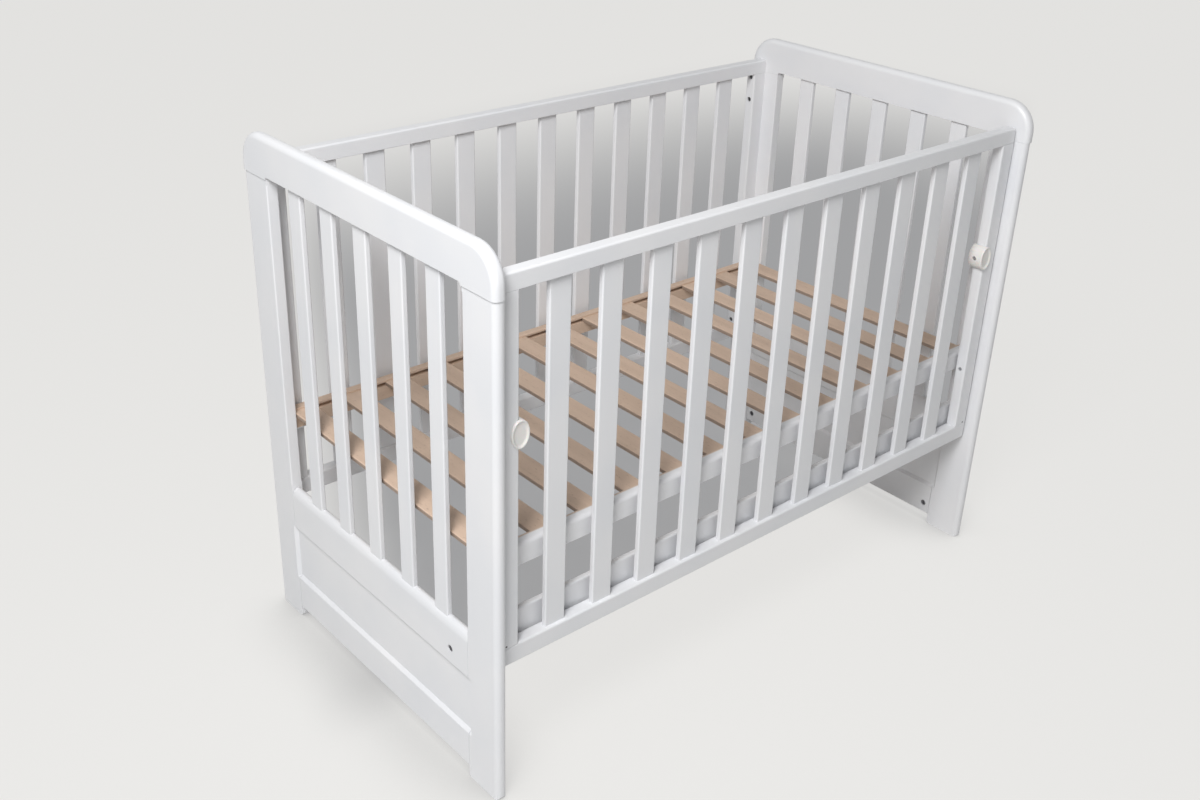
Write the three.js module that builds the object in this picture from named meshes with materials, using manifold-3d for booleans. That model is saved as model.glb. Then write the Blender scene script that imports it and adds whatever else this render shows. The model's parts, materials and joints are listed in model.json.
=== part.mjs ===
// Wooden cot with one side that drops: two end panels, a fixed back side, a sliding front side with two
// sprung release knobs, and a slatted base. Millimetres, +Z up, X along the cot, front side towards -Y.
// The origin is on the floor under the middle. The near end is at -X and the far end at +X.
import * as THREE from 'three';
import { mergeVertices } from 'three/addons/utils/BufferGeometryUtils.js';
import Module from 'manifold-3d';

const wasm = await Module();
wasm.setup();

// Overall size, over the top rails of the end panels
const length = 1256;
const width = 702;
const height = 948;

// Room between pieces that sit in or pass through each other
const clearance = 0.3;
// How far a cutting solid runs past the face that it cuts
const past = 1;

// End panels: posts and top rail
const postThick = 21;
const postWidth = 76;
const topRailLip = 2;
const topRailOverhang = 1.5;
const topRailHeight = 68;
const topRailEndDrop = 5;
const cornerRadius = 55;
const noseRadius = 10;
const footRadius = 7;
const easeRadius = 2.5;
const easeStop = 9;

// End panels: lower rails, panel and slats
const bottomRailRise = 22;
const bottomRailHeight = 73;
const panelOpening = 103;
const midRailHeight = 88;
const midRailRound = 17;
const panelThick = 9;
const panelTongue = 8;
const endSlatCount = 5;
const endSlatWidth = 36;
const endSlatThick = 10;

// Side frames, front and back
const sideTopDrop = 47;
const sideBottom = 242;
const sideDepth = 23;
const sideTopRailHeight = 28;
const sideBottomRailHeight = 34;
const sideEdgeRadius = 3.5;
const stileWidth = 33;
const sideSlatCount = 11;
const sideSlatWidth = 40;
const sideSlatThick = 10;
const slatEdgeRadius = 2.5;
const tenonLength = 10;
const tenonInset = 3;
const tenonWidth = 13;
const frontSetBack = 24;
const backSetBack = 18;
const runningGap = 5;
const dropTravel = 200;

// Guide tracks in the drop side's stiles, and the pegs in the front posts that they run on
const trackWall = 1.2;
const trackDepth = 8.7;
const pegRadius = 4.5;
const pegReach = 6.7;
const pegPlay = 0.5;
const pegStemRadius = 4;
const pegStem = 14;
const lowPegRise = 40;
const pegBelowLatch = 24;
const trackScrewRise = 163;

// Release knob, latch bolt and spring. The bolt is as thick as a guide peg and reaches as far
const latchHeight = 649;
const knobAcross = 33;
const knobTall = 47;
const knobFrontCheek = 4;
const knobBackCheek = 2.5;
const knobRound = 1.5;
const dishDepth = 1.4;
const dishRim = 3;
const knobPull = 9;
const boltInKnob = 9;
const collarRadius = 7.5;
const collarThick = 3;
const latchShoulder = 8;
const bushLength = 5;
const springWire = 1.2;
const springTurns = 4;

// Base
const baseTop = 437;
const baseRailHeight = 39;
const baseRailThick = 19;
const baseSideGap = 4;
const baseEndGap = 1;
const baseSlatCount = 13;
const baseSlatWidth = 44;
const baseSlatThick = 9;
const baseSlatDrop = 3;
const baseTongue = 10;
const baseTongueStep = 2;
const bracketThick = 2.5;
const bracketWidth = 16;
const bracketLeg = 40;
const bracketFoot = 30;
const bracketBoltDrop = 27;

// Fasteners
const dowelRadius = 5;
const dowelReach = 20;
const dowelSpacing = 40;
const dowelRise = 30;
const studRadius = 3;
const studInPost = 20;
const nutRadius = 6;
const nutLength = 16.5;
const nutRecess = 1.5;
const nutSlot = 2;
const midNutInset = 48;
const midNutRise = 34;
const lowNutInset = 16;
const lowNutRise = 21.5;
const boltRadius = 3;
const boltHeadRadius = 5;
const boltHeadHeight = 6;
const boltHeadRecess = 2;
const boltInPost = 15;
const boltFirst = 7;
const boltPitch = 50;
const buttonHeight = 3.5;
const screwRadius = 2;
const screwHeadRadius = 4;
const screwHeadHeight = 2.4;
const screwLength = 12;

// Places that follow from the sizes above
const innerFace = length / 2 - topRailLip - postThick;
const postMiddle = innerFace + postThick / 2;
const postEdge = width / 2 - topRailOverhang;
const postInner = postEdge - postWidth;
const topRailLow = height - topRailHeight;
const postTop = topRailLow - topRailEndDrop;
const bottomRailTop = bottomRailRise + bottomRailHeight;
const midRailLow = bottomRailTop + panelOpening;
const midRailTop = midRailLow + midRailHeight;
const recessDepth = (postThick - panelThick) / 2;
const sideTop = height - sideTopDrop;
const stileTop = sideTop - sideTopRailHeight;
const stileLow = sideBottom + sideBottomRailHeight;
const frontFace = -width / 2 + frontSetBack;
const frontMiddle = frontFace + sideDepth / 2;
const frontHalf = innerFace - runningGap;
const slatSpan = frontHalf - stileWidth;
const backFace = width / 2 - backSetBack;
const backMiddle = backFace - sideDepth / 2;
const boltTip = innerFace + pegReach;
const pegTip = frontHalf - pegReach;
const lowPegHeight = sideBottom + lowPegRise;
const highPegHeight = latchHeight - dropTravel - pegBelowLatch;
const trackScrewHeight = sideBottom + trackScrewRise;
const trackTop = highPegHeight + dropTravel + pegRadius + pegPlay;
const trackLow = stileLow;
const trackHalf = pegRadius + pegPlay + trackWall;
const midNutHeight = midRailLow + midNutRise;
const lowNutHeight = bottomRailRise + lowNutRise;
const bracketBoltHeight = baseTop - baseRailHeight - bracketBoltDrop;
const baseFront = frontFace + sideDepth + baseSideGap;
const baseBack = backFace - sideDepth - baseSideGap;
const baseHalf = innerFace - baseEndGap;
const baseLow = baseTop - baseRailHeight;
const baseSlatTop = baseTop - baseSlatDrop;

// Materials
function finish(color, roughness, metalness = 0) {
  return new THREE.MeshStandardMaterial({ color, roughness, metalness });
}
const materials = {
  white: () => finish(0xe9ebee, 0.45),
  beech: () => finish(0xc9a98c, 0.6),
  ivory: () => finish(0xdcdcd2, 0.35),
  track: () => finish(0xb9bcbd, 0.5),
  zinc: () => finish(0x8b8d90, 0.4, 1),
  steel: () => finish(0x5d5f62, 0.35, 1),
};

// Solids and geometry
function toSolid(geometry) {
  const bare = geometry.clone();
  bare.deleteAttribute('normal');
  bare.deleteAttribute('uv');
  const merged = mergeVertices(bare, 1e-4);
  const vertProperties = new Float32Array(merged.attributes.position.array);
  const triVerts = new Uint32Array(merged.index.array);
  return new wasm.Manifold(new wasm.Mesh({ numProp: 3, vertProperties, triVerts }));
}

function toGeometry(solid) {
  const mesh = solid.getMesh();
  const geometry = new THREE.BufferGeometry();
  const places = new Float32Array(mesh.vertProperties);
  geometry.setAttribute('position', new THREE.BufferAttribute(places, 3));
  geometry.setIndex(new THREE.BufferAttribute(new Uint32Array(mesh.triVerts), 1));
  geometry.computeVertexNormals();
  return geometry;
}

// The same geometry on the other side of the plane X = 0
function mirrored(geometry) {
  const copy = geometry.clone();
  copy.scale(-1, 1, 1);
  const corners = copy.index.array;
  for (let i = 0; i < corners.length; i += 3) {
    const kept = corners[i];
    corners[i] = corners[i + 1];
    corners[i + 1] = kept;
  }
  copy.computeVertexNormals();
  return copy;
}

function cutAway(solid, cutters) {
  return cutters.reduce((rest, cutter) => rest.subtract(cutter), solid);
}

function together(solids) {
  return solids.reduce((sum, solid) => sum.add(solid));
}

function range(count) {
  return Array.from({ length: count }, (_, index) => index);
}

// Middles of evenly spaced pieces that leave equal gaps between two ends
function spread(count, size, low, high) {
  const gap = (high - low - count * size) / (count + 1);
  return range(count).map((index) => low + gap + size / 2 + index * (size + gap));
}

function box(x0, x1, y0, y1, z0, z1) {
  const block = new THREE.BoxGeometry(x1 - x0, y1 - y0, z1 - z0);
  block.translate((x0 + x1) / 2, (y0 + y1) / 2, (z0 + z1) / 2);
  return toSolid(block);
}

// Extrusions of a flat outline: its axes are (x, y), (y, z) or (z, x), in that order
const turns = {
  z: new THREE.Matrix4(),
  x: new THREE.Matrix4().set(0, 0, 1, 0, 1, 0, 0, 0, 0, 1, 0, 0, 0, 0, 0, 1),
  y: new THREE.Matrix4().set(0, 1, 0, 0, 0, 0, 1, 0, 1, 0, 0, 0, 0, 0, 0, 1),
};

function extruded(outline, axis, from, to, curveSegments = 2) {
  const options = { depth: to - from, bevelEnabled: false, curveSegments };
  const bar = new THREE.ExtrudeGeometry(outline, options);
  bar.translate(0, 0, from);
  bar.applyMatrix4(turns[axis]);
  return toSolid(bar);
}

// Rectangle whose four corners have their own radii: low-low, high-low, high-high, low-high
function rectangle(a0, a1, b0, b1, radii) {
  const [r00, r10, r11, r01] = Array.isArray(radii) ? radii : [radii, radii, radii, radii];
  const outline = new THREE.Shape();
  outline.moveTo(a0 + r00, b0);
  outline.lineTo(a1 - r10, b0);
  if (r10 > 0) outline.absarc(a1 - r10, b0 + r10, r10, -Math.PI / 2, 0);
  outline.lineTo(a1, b1 - r11);
  if (r11 > 0) outline.absarc(a1 - r11, b1 - r11, r11, 0, Math.PI / 2);
  outline.lineTo(a0 + r01, b1);
  if (r01 > 0) outline.absarc(a0 + r01, b1 - r01, r01, Math.PI / 2, Math.PI);
  outline.lineTo(a0, b0 + r00);
  if (r00 > 0) outline.absarc(a0 + r00, b0 + r00, r00, Math.PI, Math.PI * 1.5);
  return outline;
}

// Round piece turned about a line along an axis: steps are pairs of place and radius
const toAxis = {
  x: new THREE.Matrix4().makeRotationZ(-Math.PI / 2),
  y: new THREE.Matrix4(),
  z: new THREE.Matrix4().makeRotationX(Math.PI / 2),
};

function turned(axis, a, b, steps, sides = 16) {
  const first = steps[0];
  const last = steps[steps.length - 1];
  const closed = [[first[0], 0], ...steps, [last[0], 0]];
  const points = closed.map(([place, radius]) => new THREE.Vector2(radius, place));
  const piece = new THREE.LatheGeometry(points, sides);
  piece.applyMatrix4(toAxis[axis]);
  const shift = { x: [0, a, b], y: [a, 0, b], z: [a, b, 0] }[axis];
  piece.translate(...shift);
  return toSolid(piece);
}

function rod(axis, a, b, from, to, radius, sides = 16) {
  return turned(axis, a, b, [[from, radius], [to, radius]], sides);
}

// End panel pieces, made for the far end and mirrored for the near one

function baseRailMiddle(side) {
  return side < 0 ? baseFront + baseRailThick / 2 : baseBack - baseRailThick / 2;
}

// Heights of the bolts between the back side's stiles and the back posts
const boltSteps = [boltFirst, boltFirst + boltPitch];
const sideBoltHeights = boltSteps.flatMap((step) => [stileLow + step, stileTop - step]);

// A rod along Y that runs from one side's post into a rail, between two distances from the middle
function acrossRod(side, from, to, z, radius, sides = 8) {
  const [y0, y1] = side < 0 ? [-to, -from] : [from, to];
  return rod('y', postMiddle, z, y0, y1, radius, sides);
}

// Dowels in a lower rail's ends, or with extra room the holes in the posts that they are glued into
function sideDowels(places, extra) {
  return places.map(({ side, height: z }) => (
    acrossRod(side, postInner - past, postInner + dowelReach + extra, z, dowelRadius + extra)));
}

const midDowels = [{ side: -1, height: midNutHeight + dowelRise }, { side: 1, height: midNutHeight },
  { side: 1, height: midNutHeight + dowelRise }];
const lowDowels = [-1, 1].map((side) => ({ side, height: lowNutHeight + dowelRise }));

// Dowels in the top of a post, or with extra room the holes in the top rail that they are glued into
function topDowels(side, extra) {
  const middle = side * (postInner + postWidth / 2);
  return [-1, 1].map((step) => rod('z', postMiddle, middle + step * dowelSpacing / 2,
    postTop - past, postTop + dowelReach + extra, dowelRadius + extra, 8));
}

// Studs that run from barrel nuts in the rails into the posts, or with extra room their holes
const midNut = { side: -1, height: midNutHeight, inset: midNutInset, face: 1 };
const lowNuts = [-1, 1].map((side) => ({ side, height: lowNutHeight, inset: lowNutInset, face: -1 }));

function stud({ side, height: z, inset }, extra) {
  const from = postInner - inset - nutRadius - past;
  return acrossRod(side, from, postInner + studInPost + extra, z, studRadius + extra);
}

// Ends of a barrel nut along X, or of the hole that it sits in, open at the face that it shows on
function nutSpan(face, hole) {
  const open = face > 0 ? innerFace + postThick : innerFace;
  const start = open - face * nutRecess;
  const end = start - face * nutLength;
  const near = hole ? open + face * past : start;
  const deep = hole ? end - face * clearance : end;
  return [Math.min(near, deep), Math.max(near, deep)];
}

function nutHole({ side, height: z, inset, face }) {
  return rod('x', side * (postInner - inset), z, ...nutSpan(face, true), nutRadius + clearance, 14);
}

function barrelNut() {
  const { side, height: z, inset, face } = midNut;
  const [x0, x1] = nutSpan(face, false);
  const y = side * (postInner - inset);
  const [low, high] = [z - nutRadius - past, z + nutRadius + past];
  const slot = box(x1 - nutSlot, x1 + past, y - nutSlot / 2, y + nutSlot / 2, low, high);
  return cutAway(rod('x', y, z, x0, x1, nutRadius, 14), [stud(midNut, clearance), slot]);
}

// Groove all round the lower panel's opening, and the sloping bevel in front of it and behind it
function panelGroove() {
  const half = panelThick / 2 + clearance;
  return box(postMiddle - half, postMiddle + half, -postInner - panelTongue, postInner + panelTongue,
    bottomRailTop - panelTongue, midRailLow + panelTongue);
}

function recessBevels() {
  const inset = past;
  const slope = recessDepth + inset;
  const across = postInner - inset;
  const outline = rectangle(-across, across, bottomRailTop + inset, midRailLow - inset, 0);
  return [-1, 1].map((face) => {
    const bevel = { bevelEnabled: true, bevelThickness: slope, bevelSize: slope, bevelSegments: 1 };
    const wedge = new THREE.ExtrudeGeometry(outline, { depth: slope, ...bevel });
    wedge.applyMatrix4(turns.x);
    const wideStart = face > 0 ? innerFace + postThick : innerFace - slope;
    wedge.translate(wideStart, 0, 0);
    return toSolid(wedge);
  });
}

function lowerPanel() {
  const tongue = panelTongue - clearance;
  const half = panelThick / 2;
  return box(postMiddle - half, postMiddle + half, -postInner - tongue, postInner + tongue,
    bottomRailTop - tongue, midRailLow + tongue);
}

// Rounds one long upright edge of a post, between the joints
function easeCutter(x, towardsX, side) {
  const y = side * postInner;
  const r = easeRadius;
  const outline = new THREE.Shape();
  outline.moveTo(x + towardsX * past, y - side * past);
  outline.lineTo(x - towardsX * r, y - side * past);
  outline.lineTo(x - towardsX * r, y);
  for (const step of range(2)) {
    const turn = (step + 1) * Math.PI / 4;
    outline.lineTo(x - towardsX * r * (1 - Math.sin(turn)), y + side * r * (1 - Math.cos(turn)));
  }
  outline.lineTo(x + towardsX * past, y + side * r);
  return extruded(outline, 'z', midRailTop + easeStop, postTop - easeStop);
}

// Slot in the front post that the latch bolt slides down in. The stile always covers it
function latchSlot() {
  const half = pegRadius + pegPlay;
  return box(innerFace - past, innerFace + trackDepth, frontMiddle - half, frontMiddle + half,
    latchHeight - dropTravel - half, latchHeight + half);
}

// Guide pegs, pressed into the front posts, or with extra room the holes that they sit in
function guidePeg(z, extra) {
  const steps = [[extra > 0 ? innerFace - past : innerFace, pegStemRadius + extra],
    [innerFace + pegStem + extra, pegStemRadius + extra]];
  const head = extra > 0 ? [] : [[pegTip, pegRadius], [innerFace, pegRadius]];
  return turned('x', frontMiddle, z, [...head, ...steps], 14);
}

// Holes for the base bracket's bolt and, at the back, for the bolts of the fixed side
function postBoltHoles(side) {
  const end = innerFace + boltInPost + clearance;
  const places = [[baseRailMiddle(side), bracketBoltHeight]];
  if (side > 0) places.push(...sideBoltHeights.map((z) => [backMiddle, z]));
  return places.map(([y, z]) => rod('x', y, z, innerFace - past, end, boltRadius + clearance, 8));
}

function post(side) {
  const nose = side < 0 ? [noseRadius, noseRadius, 0, 0] : [0, 0, noseRadius, noseRadius];
  const [y0, y1] = side < 0 ? [-postEdge, -postInner] : [postInner, postEdge];
  const board = extruded(rectangle(innerFace, innerFace + postThick, y0, y1, nose), 'z', 0, postTop, 3);
  const feet = [footRadius, footRadius, 0, 0];
  const sideView = rectangle(y0, y1, 0, postTop, feet);
  const profile = extruded(sideView, 'x', innerFace - past, innerFace + postThick + past);
  const eases = [[innerFace, -1], [innerFace + postThick, 1]].map(([x, way]) => easeCutter(x, way, side));
  const onSide = (place) => place.side === side;
  const cuts = [panelGroove(), ...recessBevels(), ...eases, ...postBoltHoles(side),
    ...sideDowels([...midDowels, ...lowDowels].filter(onSide), clearance),
    ...[midNut, ...lowNuts].filter(onSide).map((nut) => stud(nut, clearance))];
  if (side < 0) {
    cuts.push(latchSlot(), ...[lowPegHeight, highPegHeight].map((z) => guidePeg(z, clearance)));
  }
  return together([cutAway(board.intersect(profile), cuts), ...topDowels(side, 0)]);
}

const endSlatPlaces = spread(endSlatCount, endSlatWidth, -postInner, postInner);

// End slats, or with extra room the square mortises in the top rail that they sit in
function endSlats(extra) {
  const across = endSlatThick / 2 + extra;
  const along = endSlatWidth / 2 + extra;
  return endSlatPlaces.map((y) => {
    const round = extra > 0 ? 0 : slatEdgeRadius;
    const outline = rectangle(postMiddle - across, postMiddle + across, y - along, y + along, round);
    return extruded(outline, 'z', midRailTop - 2 * tenonLength, topRailLow + tenonLength + extra, 1);
  });
}

// Top rail: one board with a full round nose over its top and ends, whose ends sit on the posts
function endTopRail() {
  const round = Math.min(noseRadius, (topRailLip + postThick) / 2);
  const flat = topRailLip + postThick - 2 * round;
  const edge = width / 2;
  const outline = rectangle(-edge, edge, postTop - 3 * round, height, [0, 0, cornerRadius, cornerRadius]);
  const board = new THREE.ExtrudeGeometry(outline, { depth: flat, curveSegments: 5, bevelEnabled: true,
    bevelThickness: round, bevelSize: round, bevelOffset: -round, bevelSegments: 4 });
  board.translate(0, 0, innerFace + round);
  board.applyMatrix4(turns.x);

  const region = new THREE.Shape();
  const r = topRailEndDrop;
  region.moveTo(-edge - past, postTop);
  region.lineTo(-postInner, postTop);
  region.absarc(-postInner + r, postTop, r, Math.PI, Math.PI / 2, true);
  region.lineTo(postInner - r, topRailLow);
  region.absarc(postInner - r, postTop, r, Math.PI / 2, 0, true);
  region.lineTo(edge + past, postTop);
  region.lineTo(edge + past, height + past);
  region.lineTo(-edge - past, height + past);
  const kept = extruded(region, 'x', innerFace - past, length / 2 + past);
  const holes = [...endSlats(clearance), ...topDowels(-1, clearance), ...topDowels(1, clearance)];
  return cutAway(toSolid(board).intersect(kept), holes);
}

// Mid rail with a rounded top edge, and the slats that stand in it
function midRailAndSlats() {
  const outline = new THREE.Shape();
  const shoulder = midRailTop - midRailRound;
  outline.moveTo(midRailLow, innerFace);
  outline.lineTo(shoulder, innerFace);
  outline.absellipse(shoulder, postMiddle, midRailRound, postThick / 2, -Math.PI / 2, Math.PI / 2);
  outline.lineTo(midRailLow, innerFace + postThick);
  const rail = cutAway(extruded(outline, 'y', -postInner, postInner, 6),
    [panelGroove(), ...recessBevels(), nutHole(midNut)]);
  return together([rail, ...endSlats(0), ...sideDowels(midDowels, 0), stud(midNut, 0)]);
}

function bottomRail() {
  const ease = [easeRadius, 0, 0, easeRadius];
  const outline = rectangle(bottomRailRise, bottomRailTop, innerFace, innerFace + postThick, ease);
  const rail = cutAway(extruded(outline, 'y', -postInner, postInner, 1),
    [panelGroove(), ...recessBevels(), ...lowNuts.map(nutHole)]);
  return together([rail, ...sideDowels(lowDowels, 0), ...lowNuts.map((nut) => stud(nut, 0))]);
}

// Side frames: stiles with tenons stand between a top and a bottom rail, and slats between them.
// The back frame is longer, but its slats stand across from those of the front frame

function sideFrame(face, half) {
  const y0 = face;
  const y1 = face + sideDepth;
  const middle = face + sideDepth / 2;
  const r = sideEdgeRadius;

  // Slats, or with extra room the square mortises that they sit in
  const slats = (extra) => spread(sideSlatCount, sideSlatWidth, -slatSpan, slatSpan).map((x) => {
    const along = sideSlatWidth / 2 + extra;
    const across = sideSlatThick / 2 + extra;
    const round = extra > 0 ? 0 : slatEdgeRadius;
    const outline = rectangle(x - along, x + along, middle - across, middle + across, round);
    return extruded(outline, 'z', stileLow - tenonLength - extra, stileTop + tenonLength + extra, 1);
  });

  // Tenons at the stiles' ends, or with extra room their mortises
  const tenons = (extra) => [-1, 1].flatMap((end) => [stileLow, stileTop].map((z) => {
    const from = half - stileWidth + tenonInset - extra;
    const to = from + tenonWidth + 2 * extra;
    const [x0, x1] = end < 0 ? [-to, -from] : [from, to];
    const across = sideSlatThick / 2 + extra;
    return box(x0, x1, middle - across, middle + across, z - tenonLength - extra, z + tenonLength + extra);
  }));

  const rail = (z0, z1, corners) => (
    cutAway(extruded(rectangle(y0, y1, z0, z1, corners), 'x', -half, half, 2), tenons(clearance)));
  const stileOutline = rectangle(half - stileWidth, half, y0, y1, [r, 0, 0, r]);
  const stile = extruded(stileOutline, 'z', stileLow, stileTop, 2);
  return {
    topRail: cutAway(rail(stileTop, sideTop, [1, 1, r, r]), slats(clearance)),
    bottomRail: rail(sideBottom, stileLow, r),
    stile: together([stile, ...tenons(0).slice(2)]),
    slats: slats(0),
    mortises: slats(clearance),
  };
}

// Latch at one end of the front side, made for the far end: bolt, collar, spring, bush and knob
const stileOuter = frontHalf;
const stileInner = frontHalf - stileWidth;
const latchSeat = stileOuter - latchShoulder;
const knobEnd = stileInner - knobAcross / 2;
const boltEnd = stileInner - boltInKnob;

function latchBores() {
  const at = (from, to, radius) => rod('x', frontMiddle, latchHeight, from, to, radius);
  return [at(stileInner - past, stileOuter + past, pegRadius + clearance),
    at(stileInner - past, latchSeat, collarRadius + 2 * clearance)];
}

function latchBolt() {
  const seat = latchSeat - clearance;
  const chamfer = 1;
  const steps = [[boltEnd, pegRadius], [seat - collarThick, pegRadius], [seat - collarThick, collarRadius],
    [seat, collarRadius], [seat, pegRadius], [boltTip - chamfer, pegRadius], [boltTip, pegRadius - chamfer]];
  const pilot = rod('x', frontMiddle, latchHeight, boltEnd - past, boltEnd + screwLength,
    screwRadius + clearance, 10);
  return turned('x', frontMiddle, latchHeight, steps, 14).subtract(pilot);
}

function latchBush() {
  const end = stileInner + bushLength;
  const at = (from, to, radius) => rod('x', frontMiddle, latchHeight, from, to, radius, 18);
  const bore = at(stileInner - past, end + past, pegRadius + clearance);
  return at(stileInner, end, collarRadius + clearance).subtract(bore);
}

// Compression spring round the bolt, between the bush and the collar
function latchSpring() {
  const from = stileInner + bushLength + clearance + springWire / 2;
  const to = latchSeat - clearance - collarThick - clearance - springWire / 2;
  const coil = (collarRadius + pegRadius + clearance) / 2;
  const pitch = (to - from) / springTurns;
  console.log(`spring: least gap between turns ${(pitch - springWire).toFixed(2)} mm`);
  class Helix extends THREE.Curve {
    getPoint(t, target = new THREE.Vector3()) {
      const turn = t * springTurns * 2 * Math.PI;
      const [y, z] = [frontMiddle + coil * Math.cos(turn), latchHeight + coil * Math.sin(turn)];
      return target.set(from + t * (to - from), y, z);
    }
  }
  const wire = new THREE.Shape();
  const wireSides = 5;
  wire.setFromPoints(range(wireSides).map((side) => {
    const angle = side * 2 * Math.PI / wireSides;
    return new THREE.Vector2(Math.cos(angle), Math.sin(angle)).multiplyScalar(springWire / 2);
  }));
  const options = { steps: springTurns * 8, extrudePath: new Helix(), bevelEnabled: false };
  return toSolid(new THREE.ExtrudeGeometry(wire, options));
}

// Knob: an oval block that straddles the stile's inner edge, with a dished face in front
function releaseKnob() {
  const front = frontFace - clearance - knobFrontCheek;
  const back = frontFace + sideDepth + clearance + knobBackCheek;
  const oval = (inset) => {
    const outline = new THREE.Shape();
    const [tall, across] = [knobTall / 2 - inset, knobAcross / 2 - inset];
    outline.absellipse(latchHeight, stileInner, tall, across, 0, 2 * Math.PI);
    return outline;
  };
  const options = { depth: back - front - 2 * knobRound, curveSegments: 12, bevelEnabled: true,
    bevelSegments: 2, bevelThickness: knobRound, bevelSize: knobRound, bevelOffset: -knobRound };
  const block = new THREE.ExtrudeGeometry(oval(0), options);
  block.translate(0, 0, front + knobRound);
  block.applyMatrix4(turns.y);

  const dishOptions = { depth: past, curveSegments: 12, bevelEnabled: true, bevelSegments: 2,
    bevelThickness: dishDepth, bevelSize: dishDepth, bevelOffset: -dishDepth };
  const dish = new THREE.ExtrudeGeometry(oval(dishRim), dishOptions);
  dish.translate(0, 0, front - past);
  dish.applyMatrix4(turns.y);

  const at = (from, to, radius) => rod('x', frontMiddle, latchHeight, from, to, radius);
  const slot = box(stileInner - clearance, stileInner + knobAcross, frontFace - clearance,
    frontFace + sideDepth + clearance, latchHeight - knobTall, latchHeight + knobTall);
  const headSeat = knobEnd + screwHeadHeight + 1;
  const cuts = [slot, toSolid(dish), at(boltEnd - clearance, stileInner + past, pegRadius + clearance),
    at(knobEnd - past, headSeat, screwHeadRadius + clearance),
    at(knobEnd - past, boltEnd + past, screwRadius + clearance)];
  return cutAway(toSolid(block), cuts);
}

function knobScrew() {
  const seat = knobEnd + screwHeadHeight + 1;
  const tip = boltEnd + screwLength - clearance;
  const steps = [[seat - screwHeadHeight, screwHeadRadius], [seat, screwHeadRadius], [seat, screwRadius],
    [tip, screwRadius]];
  return turned('x', frontMiddle, latchHeight, steps, 12);
}

// Guide track: a channel that lines the groove in the stile's outer face and is open towards the post
function guideTrack() {
  const outline = new THREE.Shape();
  const inner = trackHalf - trackWall;
  const corners = [[0, -trackHalf], [0, -inner], [trackWall - trackDepth, -inner],
    [trackWall - trackDepth, inner], [0, inner], [0, trackHalf], [-trackDepth, trackHalf],
    [-trackDepth, -trackHalf]];
  outline.setFromPoints(corners.map(([x, y]) => new THREE.Vector2(stileOuter + x, frontMiddle + y)));
  return extruded(outline, 'z', trackLow, trackTop);
}

function trackGroove() {
  const half = trackHalf + clearance;
  return box(stileOuter - trackDepth - clearance, stileOuter + past, frontMiddle - half, frontMiddle + half,
    trackLow - past, trackTop);
}

// Countersunk hole from the stile's inner face for the screw that holds the track
function trackScrewHole() {
  const sinkEnd = stileInner + screwHeadRadius - screwRadius;
  const sink = [[stileInner - past, screwHeadRadius + past], [sinkEnd, screwRadius],
    [stileOuter - trackDepth, screwRadius]];
  return turned('x', frontMiddle, trackScrewHeight, sink, 12);
}

// Base: two rails with a groove along their inner faces, slats in the grooves, and corner brackets

function baseRail(side) {
  const [y0, y1] = side < 0 ? [baseFront, baseFront + baseRailThick] : [baseBack - baseRailThick, baseBack];
  const r = sideEdgeRadius;
  const corners = side < 0 ? [0, 0, 0, 2 * r] : [0, r, r, 0];
  const rail = extruded(rectangle(y0, y1, baseLow, baseTop, corners), 'x', -baseHalf, baseHalf, 2);
  const [g0, g1] = side < 0 ? [y1 - baseTongue, y1 + past] : [y0 - past, y0 + baseTongue];
  return rail.subtract(box(-baseHalf - past, baseHalf + past, g0, g1,
    baseSlatTop - baseSlatThick - clearance, baseSlatTop - baseTongueStep + clearance));
}

// Back rail of the base with the slats that are fixed in its groove. A slat's ends are thinner tongues
function baseRailAndSlats() {
  const frontFaceOfRail = baseFront + baseRailThick;
  const backFaceOfRail = baseBack - baseRailThick;
  const y0 = frontFaceOfRail - baseTongue + clearance;
  const y1 = backFaceOfRail + baseTongue + past;
  const ends = [[y0 - past, frontFaceOfRail + clearance], [backFaceOfRail - clearance, y1 + past]];
  const pitch = (2 * baseHalf - baseSlatWidth) / (baseSlatCount - 1);
  const slats = range(baseSlatCount).map((index) => {
    const x = -baseHalf + baseSlatWidth / 2 + index * pitch;
    const half = baseSlatWidth / 2;
    const outline = rectangle(baseSlatTop - baseSlatThick, baseSlatTop, x - half, x + half, slatEdgeRadius);
    const tongues = ends.map(([from, to]) => (
      box(x - half - past, x + half + past, from, to, baseSlatTop - baseTongueStep, baseSlatTop + past)));
    return cutAway(extruded(outline, 'y', y0, y1, 1), tongues);
  });
  return together([baseRail(1), ...slats]);
}

// Angle bracket under a rail's end, held to the post by a button-headed bolt
function bracket(side) {
  const y = baseRailMiddle(side);
  const outline = new THREE.Shape();
  const corners = [[-bracketFoot, 0], [-bracketFoot, -bracketThick], [-bracketThick, -bracketThick],
    [-bracketThick, -bracketLeg], [0, -bracketLeg], [0, 0]];
  outline.setFromPoints(corners.map(([x, z]) => new THREE.Vector2(baseLow + z, innerFace + x)));
  const angle = extruded(outline, 'y', y - bracketWidth / 2, y + bracketWidth / 2);
  return angle.subtract(rod('x', y, bracketBoltHeight, innerFace - bracketFoot, innerFace + past,
    boltRadius + clearance, 12));
}

function bracketBolt(side) {
  const seat = innerFace - bracketThick;
  const steps = [[seat - buttonHeight, boltHeadRadius * 0.6],
    [seat - buttonHeight / 2, boltHeadRadius * 0.9], [seat, boltHeadRadius], [seat, boltRadius],
    [innerFace + boltInPost, boltRadius]];
  const socket = rod('x', baseRailMiddle(side), bracketBoltHeight, seat - buttonHeight - past,
    seat - buttonHeight / 3, boltRadius * 0.7, 6);
  return turned('x', baseRailMiddle(side), bracketBoltHeight, steps, 14).subtract(socket);
}

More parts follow.
